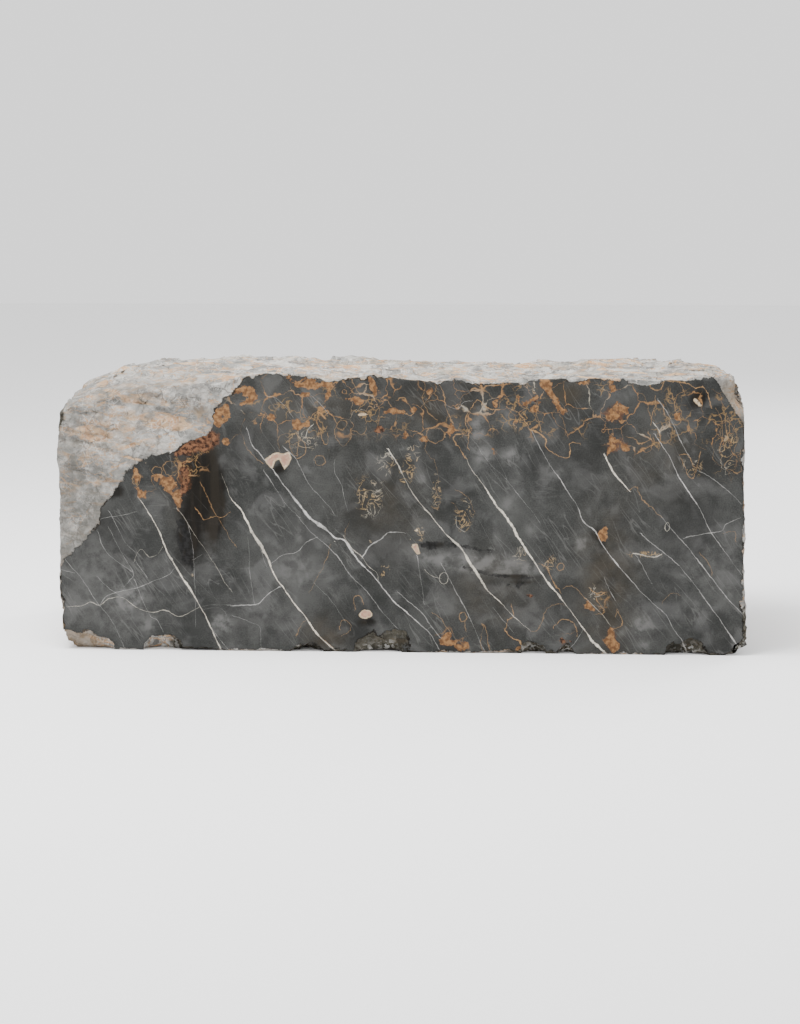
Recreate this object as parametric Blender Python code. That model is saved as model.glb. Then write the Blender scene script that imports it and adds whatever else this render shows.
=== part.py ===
"""Marble block: one rough quarried piece of dark veined marble with a single sawn face.

Units are metres. X runs along the block, Y from the sawn front to the split back, Z up.
The origin is the middle of the underside, which is the flat face that the block rests on.
"""

import bmesh
import bpy
import numpy as np
from mathutils import Vector

# ---------------------------------------------------------------- driving dimensions

LENGTH = 1.110          # usual length, between the ends' mean planes
DEPTH = 0.400           # overall depth, from the sawn front to the back's highest ridge
HEIGHT = 0.445          # usual height of the sawn face
FRONT = -DEPTH / 2
BACK_INSET = 0.0222     # how far the back's mean plane lies inside its highest ridge

# The lattice that the stone is shaped on: cells along X, Y and Z.
BLOCK_CELLS = (48, 18, 19)

# Height of the sawn face's upper edge, as (x, z) from left to right. It drops away at the
# left, where the shoulder of the block is broken off.
FRONT_CREST = (
    (-0.565, 0.350), (-0.520, 0.372), (-0.470, 0.388), (-0.420, 0.402), (-0.370, 0.415),
    (-0.320, 0.428), (-0.280, 0.438), (-0.250, 0.447), (-0.215, 0.455), (-0.167, 0.455),
    (-0.084, 0.448), (-0.034, 0.453), (0.060, 0.443), (0.097, 0.450), (0.125, 0.443),
    (0.204, 0.443), (0.223, 0.449), (0.319, 0.449), (0.461, 0.446), (0.496, 0.453),
    (0.560, 0.446),
)

# Height of the back's upper edge, which is uneven and rounds off towards the left end.
BACK_CREST = (
    (-0.565, 0.402), (-0.545, 0.411), (-0.520, 0.421), (-0.488, 0.434), (-0.440, 0.444),
    (-0.225, 0.447), (-0.072, 0.442), (0.063, 0.444), (0.173, 0.440), (0.276, 0.438),
    (0.337, 0.446), (0.420, 0.441), (0.475, 0.447), (0.518, 0.441), (0.560, 0.432),
)
CREST_REACH = 0.50      # share of the depth over which the front crest rounds up to the back

# The two ends: how far out they stand at each height, as (z, x).
LEFT_END = ((0.00, -0.549), (0.10, -0.551), (0.25, -0.553), (0.36, -0.559), (0.45, -0.556))
RIGHT_END = ((0.00, 0.562), (0.11, 0.558), (0.20, 0.555), (0.37, 0.552), (0.45, 0.551))

# Flake scars left by splitting: each face's pit width along X, Y and Z, and its height.
TOP_SCARS = ((0.105, 0.050, 0.060), 0.011)
BACK_SCARS = ((0.105, 0.080, 0.085), 0.022)
LEFT_SCARS = ((0.090, 0.080, 0.075), 0.0146)
RIGHT_SCARS = ((0.090, 0.080, 0.075), 0.0092)

# Ledges left where the stone parted along its layers: the size of a patch along X, Y and
# Z, its tilt, how far the steps wander, and the ledges' height as a share of the scars'.
LEDGE_SIZE = (0.230, 0.110, 0.105)
LEDGE_TILT = 0.8
LEDGE_BEND = 0.22
LEDGE_BEND_SIZE = 0.6
LEDGE_SHARE = 0.42
EDGE_CALM = 0.25        # share of the scars' height that is left along the sawn face's edges
EDGE_CALM_REACH = 0.07  # share of the depth over which the scars come to full height

# The line along which the big flake left the sawn face, as (x, z) from left to right.
SPALL_LINE = (
    (-0.640, 0.060), (-0.553, 0.136), (-0.537, 0.156), (-0.515, 0.171), (-0.502, 0.190),
    (-0.484, 0.208), (-0.481, 0.232), (-0.459, 0.261), (-0.443, 0.283), (-0.430, 0.301),
    (-0.411, 0.315), (-0.390, 0.322), (-0.360, 0.325), (-0.340, 0.343), (-0.309, 0.353),
    (-0.298, 0.370), (-0.295, 0.393), (-0.281, 0.412), (-0.264, 0.421), (-0.246, 0.447),
    (-0.200, 0.500),
)
SPALL_DEPTH = 0.062     # what the scar's depth tends to, far from its line
SPALL_RUN = 0.110       # distance from the line over which it gets there
SPALL_RISE = 0.45       # slope of the cutter in front of the sawn face
SPALL_SCARS = ((0.058, 0.050, 0.048), 0.012)
SPALL_BOX = ((-0.640, FRONT - 0.060, 0.060), (-0.200, FRONT + 0.060, 0.520))
SPALL_CELLS = (32, 1, 33)

# Broken places: name, middle (x, y, z) and half sizes (x, y, z) of the lump of stone that
# is missing. They follow the sawn face's lower edge from left to right, then its upper
# right corner, then the nibbles along its upper edge.
CHIPS = (
    ("corner_bottom_left", (-0.566, -0.214, -0.012), (0.098, 0.042, 0.052)),
    ("left_edge_low", (-0.568, -0.216, 0.075), (0.024, 0.030, 0.040)),
    ("notch", (-0.384, -0.208, -0.002), (0.036, 0.030, 0.031)),
    ("notch_right", (-0.330, -0.209, -0.012), (0.050, 0.020, 0.021)),
    ("hollow", (-0.147, -0.206, -0.006), (0.025, 0.030, 0.021)),
    ("long_flake", (-0.028, -0.216, -0.004), (0.064, 0.026, 0.046)),
    ("pale_flake_left", (0.218, -0.207, -0.008), (0.024, 0.022, 0.029)),
    ("pale_flake_right", (0.270, -0.207, -0.010), (0.020, 0.018, 0.028)),
    ("peaked_flake", (0.466, -0.210, -0.010), (0.042, 0.026, 0.037)),
    ("corner_bottom_right", (0.575, -0.212, 0.000), (0.030, 0.034, 0.032)),
    ("corner_top_right", (0.572, -0.180, 0.466), (0.044, 0.210, 0.066)),
    ("corner_top_right_back", (0.574, 0.160, 0.462), (0.048, 0.110, 0.036)),
    ("nibble_1", (-0.112, -0.214, 0.464), (0.044, 0.026, 0.026)),
    ("nibble_2", (0.052, -0.215, 0.462), (0.046, 0.027, 0.028)),
    ("nibble_3", (0.166, -0.214, 0.460), (0.050, 0.024, 0.026)),
    ("nibble_4", (0.398, -0.214, 0.464), (0.060, 0.024, 0.027)),
    ("nibble_5", (0.284, -0.213, 0.464), (0.030, 0.022, 0.023)),
)
CHIP_ROUNDS = 2         # subdivisions of the ball that each chip starts from
CHIP_SCARS = 0.45       # how uneven a chip is, as a share of its half size
CHIP_SCAR_SIZE = 0.70   # spacing of that unevenness, as a share of the half size

# Flakes lost along the hidden edges: how many on each edge, and how large.
LONG_EDGE_FLAKES = 5
SHORT_EDGE_FLAKES = 2
FLAKE_SHIFT = 0.3       # how far a flake may move from its even place, as a share of a step
FLAKE_SIZE = (0.070, 0.030, 0.028)
FLAKE_SPREAD = 0.45
FLAKE_SEED = 11

STONE_COLOUR = (0.105, 0.105, 0.103, 1.0)
STONE_ROUGHNESS = 0.55

FLAT = 1e-6             # two heights closer than this are the same plane
DISSOLVE_ANGLE = 0.01

FAR = 9.0               # farther than any distance that is compared with it
SCAR_LEVELS = 0.4       # how much the bowls of a scarred face differ in level
SCAR_TOP = 1.1          # ridges are cut off at this level
SCAR_MIDDLE = 0.5       # level that counts as no height
CHIP_SHIFT = 3.7        # keeps each chip's unevenness apart from the last one's

HASH_STEPS = (374761393, 668265263, 1442695041)
HASH_SEED_STEP = 974634777
HASH_MIX = ((15, 1274126177), (13, 1103515245), (16, 1))
HASH_MASK = 0xFFFFFFFF
HASH_RANGE = 0xFFFFFF


# ---------------------------------------------------------------- repeatable noise

def hashed(cells, seed):
    """A number from 0 to 1 for each whole-number cell, mixed by products and bit shifts."""
    mixed = cells.astype(np.int64) @ np.array(HASH_STEPS)
    mixed = (mixed + seed * HASH_SEED_STEP) & HASH_MASK
    for shift, factor in HASH_MIX:
        mixed = ((mixed ^ (mixed >> shift)) * factor) & HASH_MASK
    return (mixed & HASH_RANGE) / HASH_RANGE


def corner_offsets(low, high):
    """All whole-number offsets from low to high along the three axes."""
    steps = np.arange(low, high + 1)
    return np.stack(np.meshgrid(steps, steps, steps, indexing="ij"), -1).reshape(-1, 3)


def lumps(points, size, seed):
    """Smooth noise from -1 to 1: random values at lattice corners, blended between them."""
    scaled = points / np.asarray(size)
    base = np.floor(scaled)
    part = scaled - base
    part = part * part * (3 - 2 * part)
    total = np.zeros(len(points))
    for offset in corner_offsets(0, 1):
        weight = np.prod(np.where(offset == 1, part, 1 - part), axis=1)
        total += weight * hashed(base + offset, seed)
    return total * 2 - 1


def scars(points, size, seed):
    """Shallow bowls that meet in sharp ridges, from about -0.5 in a bowl to 0.5 on a ridge.

    Each lattice cell holds one bowl centre at a random place and level. The value is the
    least, over the nearby centres, of the squared distance plus the centre's level.
    """
    scaled = points / np.asarray(size)
    base = np.floor(scaled)
    lowest = np.full(len(points), FAR)
    for offset in corner_offsets(-1, 1):
        cell = base + offset
        centre = cell + np.stack([hashed(cell, seed + axis) for axis in range(3)], -1)
        value = ((scaled - centre) ** 2).sum(axis=1) + SCAR_LEVELS * hashed(cell, seed + 3)
        lowest = np.minimum(lowest, value)
    return np.minimum(lowest, SCAR_TOP) - SCAR_MIDDLE


def ledges(points, size, seed):
    """Flat tilted patches from about -1 to 1, with steps between them where layers parted.

    Each point takes the plane of the nearest patch centre, which has a random level and
    tilt. Bending the points a little first makes the steps wander.
    """
    scaled = points / np.asarray(size)
    bend = [lumps(scaled, [LEDGE_BEND_SIZE] * 3, seed + 10 + axis) for axis in range(3)]
    scaled = scaled + LEDGE_BEND * np.stack(bend, -1)
    base = np.floor(scaled)
    nearest = np.full(len(points), FAR)
    height = np.zeros(len(points))
    for offset in corner_offsets(-1, 1):
        cell = base + offset
        away = scaled - cell - np.stack([hashed(cell, seed + axis) for axis in range(3)], -1)
        distance = (away ** 2).sum(axis=1)
        tilt = np.stack([hashed(cell, seed + 3 + axis) for axis in range(3)], -1) * 2 - 1
        plane = hashed(cell, seed + 6) * 2 - 1 + LEDGE_TILT * (tilt * away).sum(axis=1)
        height = np.where(distance < nearest, plane, height)
        nearest = np.minimum(nearest, distance)
    return height


# ---------------------------------------------------------------- shape of the stone

def blend(low, high, share):
    return low + (high - low) * share


def read_line(line, at):
    """Height of a line given as (place, height) pairs, at each place asked for."""
    places, heights = np.array(line).T
    return np.interp(at, places, heights)


def calm_near_front(y):
    """Share of the scars' height at each depth: little at the sawn face, all behind it."""
    share = np.clip((y - FRONT) / (DEPTH * EDGE_CALM_REACH), 0, 1)
    return blend(EDGE_CALM, 1.0, share)


def face_relief(points, scar, seed):
    """Height of a rough face: flake scars on ledges, calmed along the sawn face's edges."""
    size, height = scar
    rough = scars(points, size, seed) + LEDGE_SHARE * ledges(points, LEDGE_SIZE, seed + 7)
    return height * rough * calm_near_front(points[:, 1])


def top_height(points):
    """The top: the front crest rounds up to the back crest along a quarter ellipse."""
    front = read_line(FRONT_CREST, points[:, 0])
    back = read_line(BACK_CREST, points[:, 0])
    share = np.clip((points[:, 1] - FRONT) / (DEPTH * CREST_REACH), 0, 1)
    rounded = np.sqrt(1 - (1 - share) ** 2)
    return blend(front, back, rounded) + face_relief(points, TOP_SCARS, 20)


def left_end(points):
    return read_line(LEFT_END, points[:, 2]) - face_relief(points, LEFT_SCARS, 40)


def right_end(points):
    return read_line(RIGHT_END, points[:, 2]) + face_relief(points, RIGHT_SCARS, 60)


def back_face(points):
    return DEPTH / 2 - BACK_INSET + face_relief(points, BACK_SCARS, 80)


def stone_points(points):
    """Moves points of a plain box to the stone: each face goes to its own surface.

    The sawn front stays a plane, and so does the underside.
    """
    share = points / (LENGTH, DEPTH, HEIGHT) + (0.5, 0.5, 0)
    x = blend(left_end(points), right_end(points), share[:, 0])
    y = blend(FRONT, back_face(points), share[:, 1])
    z = top_height(points) * share[:, 2]
    return np.stack([x, y, z], -1)


def distance_past_line(x, z, line):
    """Distance from a line in the sawn face's plane, positive above it."""
    line = np.array(line)
    place = np.stack([x, z], -1)
    nearest = np.full(len(x), FAR)
    for start, end in zip(line[:-1], line[1:]):
        run = end - start
        along = np.clip((place - start) @ run / (run @ run), 0, 1)
        nearest = np.minimum(nearest, np.linalg.norm(place - start - along[:, None] * run, axis=1))
    above = z > np.interp(x, line[:, 0], line[:, 1])
    return np.where(above, nearest, -nearest)


def spall_depth(points):
    """Depth of the big scar behind the sawn face: steep at its line, then levelling off."""
    past = distance_past_line(points[:, 0], points[:, 2], SPALL_LINE)
    inside = np.maximum(past, 0)
    depth = SPALL_DEPTH * (1 - np.exp(-inside / SPALL_RUN))
    size, height = SPALL_SCARS
    depth += height * scars(points, size, 100) * np.clip(inside / size[0], 0, 1)
    return np.where(past > 0, depth, past * SPALL_RISE)


# ---------------------------------------------------------------- meshes

def mesh_points(mesh):
    flat = np.empty(len(mesh.vertices) * 3)
    mesh.vertices.foreach_get("co", flat)
    return flat.reshape(-1, 3)


def set_mesh_points(mesh, points):
    mesh.vertices.foreach_set("co", points.astype(np.float32).ravel())
    mesh.update()


def cut_in_cells(mesh, low, high, cells):
    """Cuts a box mesh into a lattice by planes across each axis."""
    shape = bmesh.new()
    shape.from_mesh(mesh)
    for axis, count in enumerate(cells):
        normal = Vector([1.0 if other == axis else 0.0 for other in range(3)])
        for step in range(1, count):
            place = normal * blend(low[axis], high[axis], step / count)
            everything = shape.verts[:] + shape.edges[:] + shape.faces[:]
            bmesh.ops.bisect_plane(shape, geom=everything, plane_co=place, plane_no=normal)
    shape.to_mesh(mesh)
    shape.free()


def lattice_box(name, low, high, cells):
    """A primitive cube sized to a box and cut into cells."""
    middle = [(a + b) / 2 for a, b in zip(low, high)]
    bpy.ops.mesh.primitive_cube_add(size=1.0, location=middle)
    box = bpy.context.object
    box.name = name
    box.scale = [b - a for a, b in zip(low, high)]
    bpy.ops.object.transform_apply(location=True, rotation=True, scale=True)
    cut_in_cells(box.data, low, high, cells)
    return box


def dissolve_flats(mesh):
    """Joins the cells of the sawn face and of the underside into one face each."""
    shape = bmesh.new()
    shape.from_mesh(mesh)
    for axis, level in ((1, FRONT), (2, 0.0)):
        verts = [v for v in shape.verts if abs(v.co[axis] - level) < FLAT]
        edges = [e for e in shape.edges if all(abs(v.co[axis] - level) < FLAT for v in e.verts)]
        bmesh.ops.dissolve_limit(
            shape, angle_limit=DISSOLVE_ANGLE, verts=verts, edges=edges, use_dissolve_boundaries=False)
    shape.to_mesh(mesh)
    shape.free()


def make_stone():
    low = (-LENGTH / 2, FRONT, 0.0)
    high = (LENGTH / 2, DEPTH / 2, HEIGHT)
    stone = lattice_box("marble_block", low, high, BLOCK_CELLS)
    set_mesh_points(stone.data, stone_points(mesh_points(stone.data)))
    dissolve_flats(stone.data)
    return stone


def make_spall_cutter():
    """A slab in front of the sawn face whose back is the surface of the big scar."""
    low, high = SPALL_BOX
    cutter = lattice_box("cut_spall", low, high, SPALL_CELLS)
    points = mesh_points(cutter.data)
    behind = points[:, 1] > (low[1] + high[1]) / 2
    depth = spall_depth(points)
    points[:, 1] = np.where(behind, FRONT + np.maximum(depth, low[1] - FRONT + 0.01), low[1])
    set_mesh_points(cutter.data, points)
    return cutter


def make_chip_cutter(name, middle, half_sizes, seed):
    """A ball with flake scars, stretched to the lump of stone that is missing."""
    bpy.ops.mesh.primitive_ico_sphere_add(subdivisions=CHIP_ROUNDS, radius=1.0)
    cutter = bpy.context.object
    cutter.name = "cut_" + name
    unit = mesh_points(cutter.data)
    uneven = scars(unit + seed * CHIP_SHIFT, [CHIP_SCAR_SIZE] * 3, seed)
    unit *= (1 - CHIP_SCARS * uneven)[:, None]
    set_mesh_points(cutter.data, unit * half_sizes + middle)
    return cutter


def hidden_edges():
    """The block's edges away from the sawn face, each as its two ends."""
    left, right, back, top = -LENGTH / 2, LENGTH / 2, DEPTH / 2, HEIGHT
    return {
        "back_low": ((left, back, 0.0), (right, back, 0.0)),
        "back_high": ((left, back, top), (right, back, top)),
        "left_low": ((left, FRONT, 0.0), (left, back, 0.0)),
        "right_low": ((right, FRONT, 0.0), (right, back, 0.0)),
        "left_back": ((left, back, 0.0), (left, back, top)),
        "right_back": ((right, back, 0.0), (right, back, top)),
    }


def edge_flakes():
    """Chips spread along the hidden edges at seeded places, longest along their edge."""
    chance = np.random.default_rng(FLAKE_SEED)
    flakes = []
    for name, (start, end) in hidden_edges().items():
        start, end = np.array(start), np.array(end)
        along = np.abs(end - start) / np.linalg.norm(end - start)
        count = LONG_EDGE_FLAKES if along[0] else SHORT_EDGE_FLAKES
        for index in range(count):
            share = (index + 0.5 + chance.uniform(-FLAKE_SHIFT, FLAKE_SHIFT)) / count
            size = np.where(along > 0.5, FLAKE_SIZE[0], FLAKE_SIZE[1])
            size = size * (1 + FLAKE_SPREAD * chance.uniform(-1, 1, 3))
            flakes.append((f"{name}_{index + 1}", tuple(blend(start, end, share)), tuple(size)))
    return flakes


# ---------------------------------------------------------------- scene

def clear_scene():
    for item in list(bpy.data.objects):
        bpy.data.objects.remove(item, do_unlink=True)


def new_collection(name):
    collection = bpy.data.collections.new(name)
    bpy.context.scene.collection.children.link(collection)
    return collection


def move_to(item, collection):
    for holder in list(item.users_collection):
        holder.objects.unlink(item)
    collection.objects.link(item)


def stone_material():
    material = bpy.data.materials.new("dark_marble")
    material.use_nodes = True
    shader = material.node_tree.nodes["Principled BSDF"]
    shader.inputs["Base Color"].default_value = STONE_COLOUR
    shader.inputs["Roughness"].default_value = STONE_ROUGHNESS
    shader.inputs["Metallic"].default_value = 0.0
    return material


def cut_with(stone, cutter, collection):
    move_to(cutter, collection)
    cutter.hide_render = True
    cutter.display_type = "WIRE"
    boolean = stone.modifiers.new(cutter.name, "BOOLEAN")
    boolean.operation = "DIFFERENCE"
    boolean.solver = "EXACT"
    boolean.object = cutter


def main():
    clear_scene()
    parts = new_collection("marble_block_parts")
    cutters = new_collection("cutters")
    stone = make_stone()
    move_to(stone, parts)
    stone.data.materials.append(stone_material())
    cut_with(stone, make_spall_cutter(), cutters)
    for seed, (name, middle, half_sizes) in enumerate(CHIPS + tuple(edge_flakes()), start=1):
        cut_with(stone, make_chip_cutter(name, middle, half_sizes, seed), cutters)


main()
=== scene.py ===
# %% [markdown]
# # A rough block of dark veined marble
# The subject is one quarried stone: a sawn front face, full of white and ochre veins, and
# split faces all round it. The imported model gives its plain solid. This lesson dresses
# that solid with a fine surface and one stone material, cell by cell.

# %% Load the frame
import math

import bpy
import numpy as np
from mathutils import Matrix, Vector


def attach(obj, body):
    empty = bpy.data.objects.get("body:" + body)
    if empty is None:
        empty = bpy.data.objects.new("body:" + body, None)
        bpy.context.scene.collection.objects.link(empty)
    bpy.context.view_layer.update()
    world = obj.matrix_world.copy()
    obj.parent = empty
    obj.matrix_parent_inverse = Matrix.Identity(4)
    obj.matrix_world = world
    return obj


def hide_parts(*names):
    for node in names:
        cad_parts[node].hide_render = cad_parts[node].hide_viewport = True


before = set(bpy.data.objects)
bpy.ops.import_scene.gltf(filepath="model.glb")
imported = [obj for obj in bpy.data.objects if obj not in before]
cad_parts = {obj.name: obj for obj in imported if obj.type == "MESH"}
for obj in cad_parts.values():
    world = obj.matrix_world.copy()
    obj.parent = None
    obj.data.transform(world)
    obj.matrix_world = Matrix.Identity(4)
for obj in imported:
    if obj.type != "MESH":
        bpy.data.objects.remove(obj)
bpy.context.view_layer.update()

# %% [markdown]
# ## Camera
# The block is seen nearly square on, from a little above, by a long lens, so its sawn
# face keeps its true proportions and only a narrow band of its top shows. The camera
# stands a small angle to the right of the face's axis.

# %% Camera
CAMERA_TURN = math.radians(2.5)
CAMERA_DISTANCE = 3.70
CAMERA_HEIGHT = 0.78
CAMERA_AIM = Vector((-0.0059, 0.0, 0.200))
CAMERA_LENS = 77.34


def make_camera():
    """A camera on a circle round the block, turned so that it looks at the aim point."""
    data = bpy.data.cameras.new("camera")
    data.lens = CAMERA_LENS
    camera = bpy.data.objects.new("camera", data)
    bpy.context.scene.collection.objects.link(camera)
    across = CAMERA_DISTANCE * math.sin(CAMERA_TURN)
    back = -CAMERA_DISTANCE * math.cos(CAMERA_TURN)
    camera.location = (across, back, CAMERA_HEIGHT)
    camera.rotation_euler = (CAMERA_AIM - camera.location).to_track_quat("-Z", "Y").to_euler()
    bpy.context.scene.camera = camera
    return camera


camera = make_camera()
print("camera at", [round(v, 3) for v in camera.location])

# %% [markdown]
# ## Floor and light
# A pale floor and a soft overhead lamp show stone well: the light grazes the top, so its
# ledges read. A weaker lamp in front keeps the dark face open, and one behind lights the
# hidden faces.

# %% Floor and lights
FLOOR_HALF = 9.0
FLOOR_COLOUR = (0.92, 0.92, 0.92, 1.0)
SKY_STRENGTH = 1.45
LAMP_AIM = (0.0, 0.0, 0.2)

# Each lamp's name, place, size in metres and power in watts.
LAMPS = (
    ("behind", (2.4, 2.6, 1.9), 1.4, 70),
    ("overhead", (-0.7, -0.5, 2.5), 1.3, 135),
    ("front", (-1.6, -3.2, 2.4), 1.6, 30),
)


def plain_material(name, colour, roughness):
    """One even colour and roughness."""
    material = bpy.data.materials.new(name)
    material.use_nodes = True
    shader = material.node_tree.nodes["Principled BSDF"]
    shader.inputs["Base Color"].default_value = colour
    shader.inputs["Roughness"].default_value = roughness
    return material


def make_floor():
    """One square, level with the block's underside."""
    mesh = bpy.data.meshes.new("floor")
    h = FLOOR_HALF
    mesh.from_pydata([(-h, -h, 0), (h, -h, 0), (h, h, 0), (-h, h, 0)], [], [(0, 1, 2, 3)])
    floor = bpy.data.objects.new("floor", mesh)
    bpy.context.scene.collection.objects.link(floor)
    floor.data.materials.append(plain_material("pale_floor", FLOOR_COLOUR, 0.8))


def area_light(name, place, aim, size, power):
    """A square lamp at a place, turned to face its aim."""
    data = bpy.data.lights.new(name, "AREA")
    data.size = size
    data.energy = power
    lamp = bpy.data.objects.new(name, data)
    bpy.context.scene.collection.objects.link(lamp)
    lamp.location = place
    lamp.rotation_euler = (Vector(aim) - lamp.location).to_track_quat("-Z", "Y").to_euler()


def make_sky(strength):
    """An even white light from all round."""
    world = bpy.data.worlds.new("studio")
    world.use_nodes = True
    background = world.node_tree.nodes["Background"]
    background.inputs["Color"].default_value = (1.0, 1.0, 1.0, 1.0)
    background.inputs["Strength"].default_value = strength
    bpy.context.scene.world = world


make_floor()
make_sky(SKY_STRENGTH)
for name, place, size, power in LAMPS:
    area_light(name, place, LAMP_AIM, size, power)
print("floor and sky made, and lamps:", len(LAMPS))

# %% [markdown]
# ## Noise for broken stone
# Split marble shows two things: shallow flake scars, like spoon marks that meet in sharp
# ridges, and flat tilted patches with steps between them, where the layers parted. Both
# come from numbers dealt to the cells of a lattice. The numbers are mixed from the cell's
# place by whole-number products and shifts, so each run gives the same stone.

# %% Noise
HASH_STEPS = (374761393, 668265263, 1442695041)
HASH_SEED_STEP = 974634777
HASH_MIX = ((15, 1274126177), (13, 1103515245), (16, 1))
HASH_MASK = 0xFFFFFFFF
HASH_RANGE = 0xFFFFFF
FAR = 9.0


def hashed(cells, seed):
    """A number from 0 to 1 for each whole-number cell, mixed by products and bit shifts."""
    mixed = cells.astype(np.int64) @ np.array(HASH_STEPS)
    mixed = (mixed + seed * HASH_SEED_STEP) & HASH_MASK
    for shift, factor in HASH_MIX:
        mixed = ((mixed ^ (mixed >> shift)) * factor) & HASH_MASK
    return (mixed & HASH_RANGE) / HASH_RANGE


def corner_offsets(low, high):
    """All whole-number offsets from low to high along the three axes."""
    steps = np.arange(low, high + 1)
    return np.stack(np.meshgrid(steps, steps, steps, indexing="ij"), -1).reshape(-1, 3)


def lumps(points, size, seed):
    """Smooth noise from -1 to 1: random values at lattice corners, blended between them."""
    scaled = points / np.asarray(size)
    base = np.floor(scaled)
    part = scaled - base
    part = part * part * (3 - 2 * part)
    total = np.zeros(len(points))
    for offset in corner_offsets(0, 1):
        weight = np.prod(np.where(offset == 1, part, 1 - part), axis=1)
        total += weight * hashed(base + offset, seed)
    return total * 2 - 1


SCAR_LEVELS = 0.4
SCAR_TOP = 1.1
SCAR_MIDDLE = 0.5


def scars(points, size, seed):
    """Bowls that meet in sharp ridges: the least, over the lattice's nearby bowl centres,
    of the squared distance to the centre plus the centre's own level."""
    scaled = points / np.asarray(size)
    base = np.floor(scaled)
    lowest = np.full(len(points), FAR)
    for offset in corner_offsets(-1, 1):
        cell = base + offset
        centre = cell + np.stack([hashed(cell, seed + axis) for axis in range(3)], -1)
        value = ((scaled - centre) ** 2).sum(axis=1) + SCAR_LEVELS * hashed(cell, seed + 3)
        lowest = np.minimum(lowest, value)
    return np.minimum(lowest, SCAR_TOP) - SCAR_MIDDLE


LEDGE_TILT = 0.8
LEDGE_BEND = 0.22
LEDGE_BEND_SIZE = 0.6


def ledges(points, size, seed):
    """Flat tilted patches with steps between them: each point, once bent a little, takes
    the plane of the nearest patch centre, which has a random level and tilt."""
    scaled = points / np.asarray(size)
    bend = [lumps(scaled, [LEDGE_BEND_SIZE] * 3, seed + 10 + axis) for axis in range(3)]
    scaled = scaled + LEDGE_BEND * np.stack(bend, -1)
    base = np.floor(scaled)
    nearest = np.full(len(points), FAR)
    height = np.zeros(len(points))
    for offset in corner_offsets(-1, 1):
        cell = base + offset
        away = scaled - cell - np.stack([hashed(cell, seed + axis) for axis in range(3)], -1)
        distance = (away ** 2).sum(axis=1)
        tilt = np.stack([hashed(cell, seed + 3 + axis) for axis in range(3)], -1) * 2 - 1
        plane = hashed(cell, seed + 6) * 2 - 1 + LEDGE_TILT * (tilt * away).sum(axis=1)
        height = np.where(distance < nearest, plane, height)
        nearest = np.minimum(nearest, distance)
    return height


sample = np.random.default_rng(1).uniform(-1, 1, (4000, 3))
heights = scars(sample, [0.1] * 3, 1)
print("scars run from", heights.min().round(2), "to", heights.max().round(2))

# %% [markdown]
# ## The stone's main form
# The block could be sculpted by hand, but its form follows a few measured lines: the
# crest of the sawn face, the back's upper edge, how far each end stands out, and the line
# where one big flake left the upper left corner. They are written as (place, height)
# pairs in metres, and each face is a function of the two that it lies between.

# %% Measured lines
LENGTH = 1.110
DEPTH = 0.400
HEIGHT = 0.445
FRONT = -DEPTH / 2
BACK_INSET = 0.0222

FRONT_CREST = (
    (-0.565, 0.350), (-0.520, 0.372), (-0.470, 0.388), (-0.420, 0.402), (-0.370, 0.415),
    (-0.320, 0.428), (-0.280, 0.438), (-0.250, 0.447), (-0.215, 0.455), (-0.167, 0.455),
    (-0.084, 0.448), (-0.034, 0.453), (0.060, 0.443), (0.097, 0.450), (0.125, 0.443),
    (0.204, 0.443), (0.223, 0.449), (0.319, 0.449), (0.461, 0.446), (0.496, 0.453),
    (0.560, 0.446),
)
BACK_CREST = (
    (-0.565, 0.402), (-0.545, 0.411), (-0.520, 0.421), (-0.488, 0.434), (-0.440, 0.444),
    (-0.225, 0.447), (-0.072, 0.442), (0.063, 0.444), (0.173, 0.440), (0.276, 0.438),
    (0.337, 0.446), (0.420, 0.441), (0.475, 0.447), (0.518, 0.441), (0.560, 0.432),
)
CREST_REACH = 0.50
LEFT_END = ((0.00, -0.549), (0.10, -0.551), (0.25, -0.553), (0.36, -0.559), (0.45, -0.556))
RIGHT_END = ((0.00, 0.562), (0.11, 0.558), (0.20, 0.555), (0.37, 0.552), (0.45, 0.551))
SPALL_LINE = (
    (-0.640, 0.060), (-0.553, 0.136), (-0.537, 0.156), (-0.515, 0.171), (-0.502, 0.190),
    (-0.484, 0.208), (-0.481, 0.232), (-0.459, 0.261), (-0.443, 0.283), (-0.430, 0.301),
    (-0.411, 0.315), (-0.390, 0.322), (-0.360, 0.325), (-0.340, 0.343), (-0.309, 0.353),
    (-0.298, 0.370), (-0.295, 0.393), (-0.281, 0.412), (-0.264, 0.421), (-0.246, 0.447),
    (-0.200, 0.500),
)
CORNER_LINE = (
    (0.470, 0.500), (0.496, 0.453), (0.505, 0.447), (0.524, 0.415), (0.541, 0.391),
    (0.549, 0.374), (0.580, 0.320),
)
print("lines measured:", 6)

# %% Rough faces
TOP_SCARS = ((0.105, 0.050, 0.060), 0.011)
BACK_SCARS = ((0.105, 0.080, 0.085), 0.022)
LEFT_SCARS = ((0.090, 0.080, 0.075), 0.0146)
RIGHT_SCARS = ((0.090, 0.080, 0.075), 0.0092)
LEDGE_SIZE = (0.230, 0.110, 0.105)
LEDGE_SHARE = 0.42
EDGE_CALM = 0.25
EDGE_CALM_REACH = 0.07

# Finer relief than the solid has, as (pit size, height) pairs.
FINE_SCARS = (((0.036, 0.024, 0.026), 0.0052), ((0.014, 0.010, 0.010), 0.0022))
LAYER_THICKNESS = 0.019
LAYER_WANDER = 1.4
LAYER_SIZE = (0.110, 0.060, 0.060)
LAYER_STEP = 0.0022


def blend(low, high, share):
    """Low, plus the share of the way from low to high."""
    return low + (high - low) * share


def read_line(line, at):
    """Height of a line given as (place, height) pairs, at each place asked for."""
    places, heights = np.array(line).T
    return np.interp(at, places, heights)


def calm_near_front(y):
    """Share of the relief at each depth: little at the sawn face, all a short way behind."""
    share = np.clip((y - FRONT) / (DEPTH * EDGE_CALM_REACH), 0, 1)
    return blend(EDGE_CALM, 1.0, share)


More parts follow.
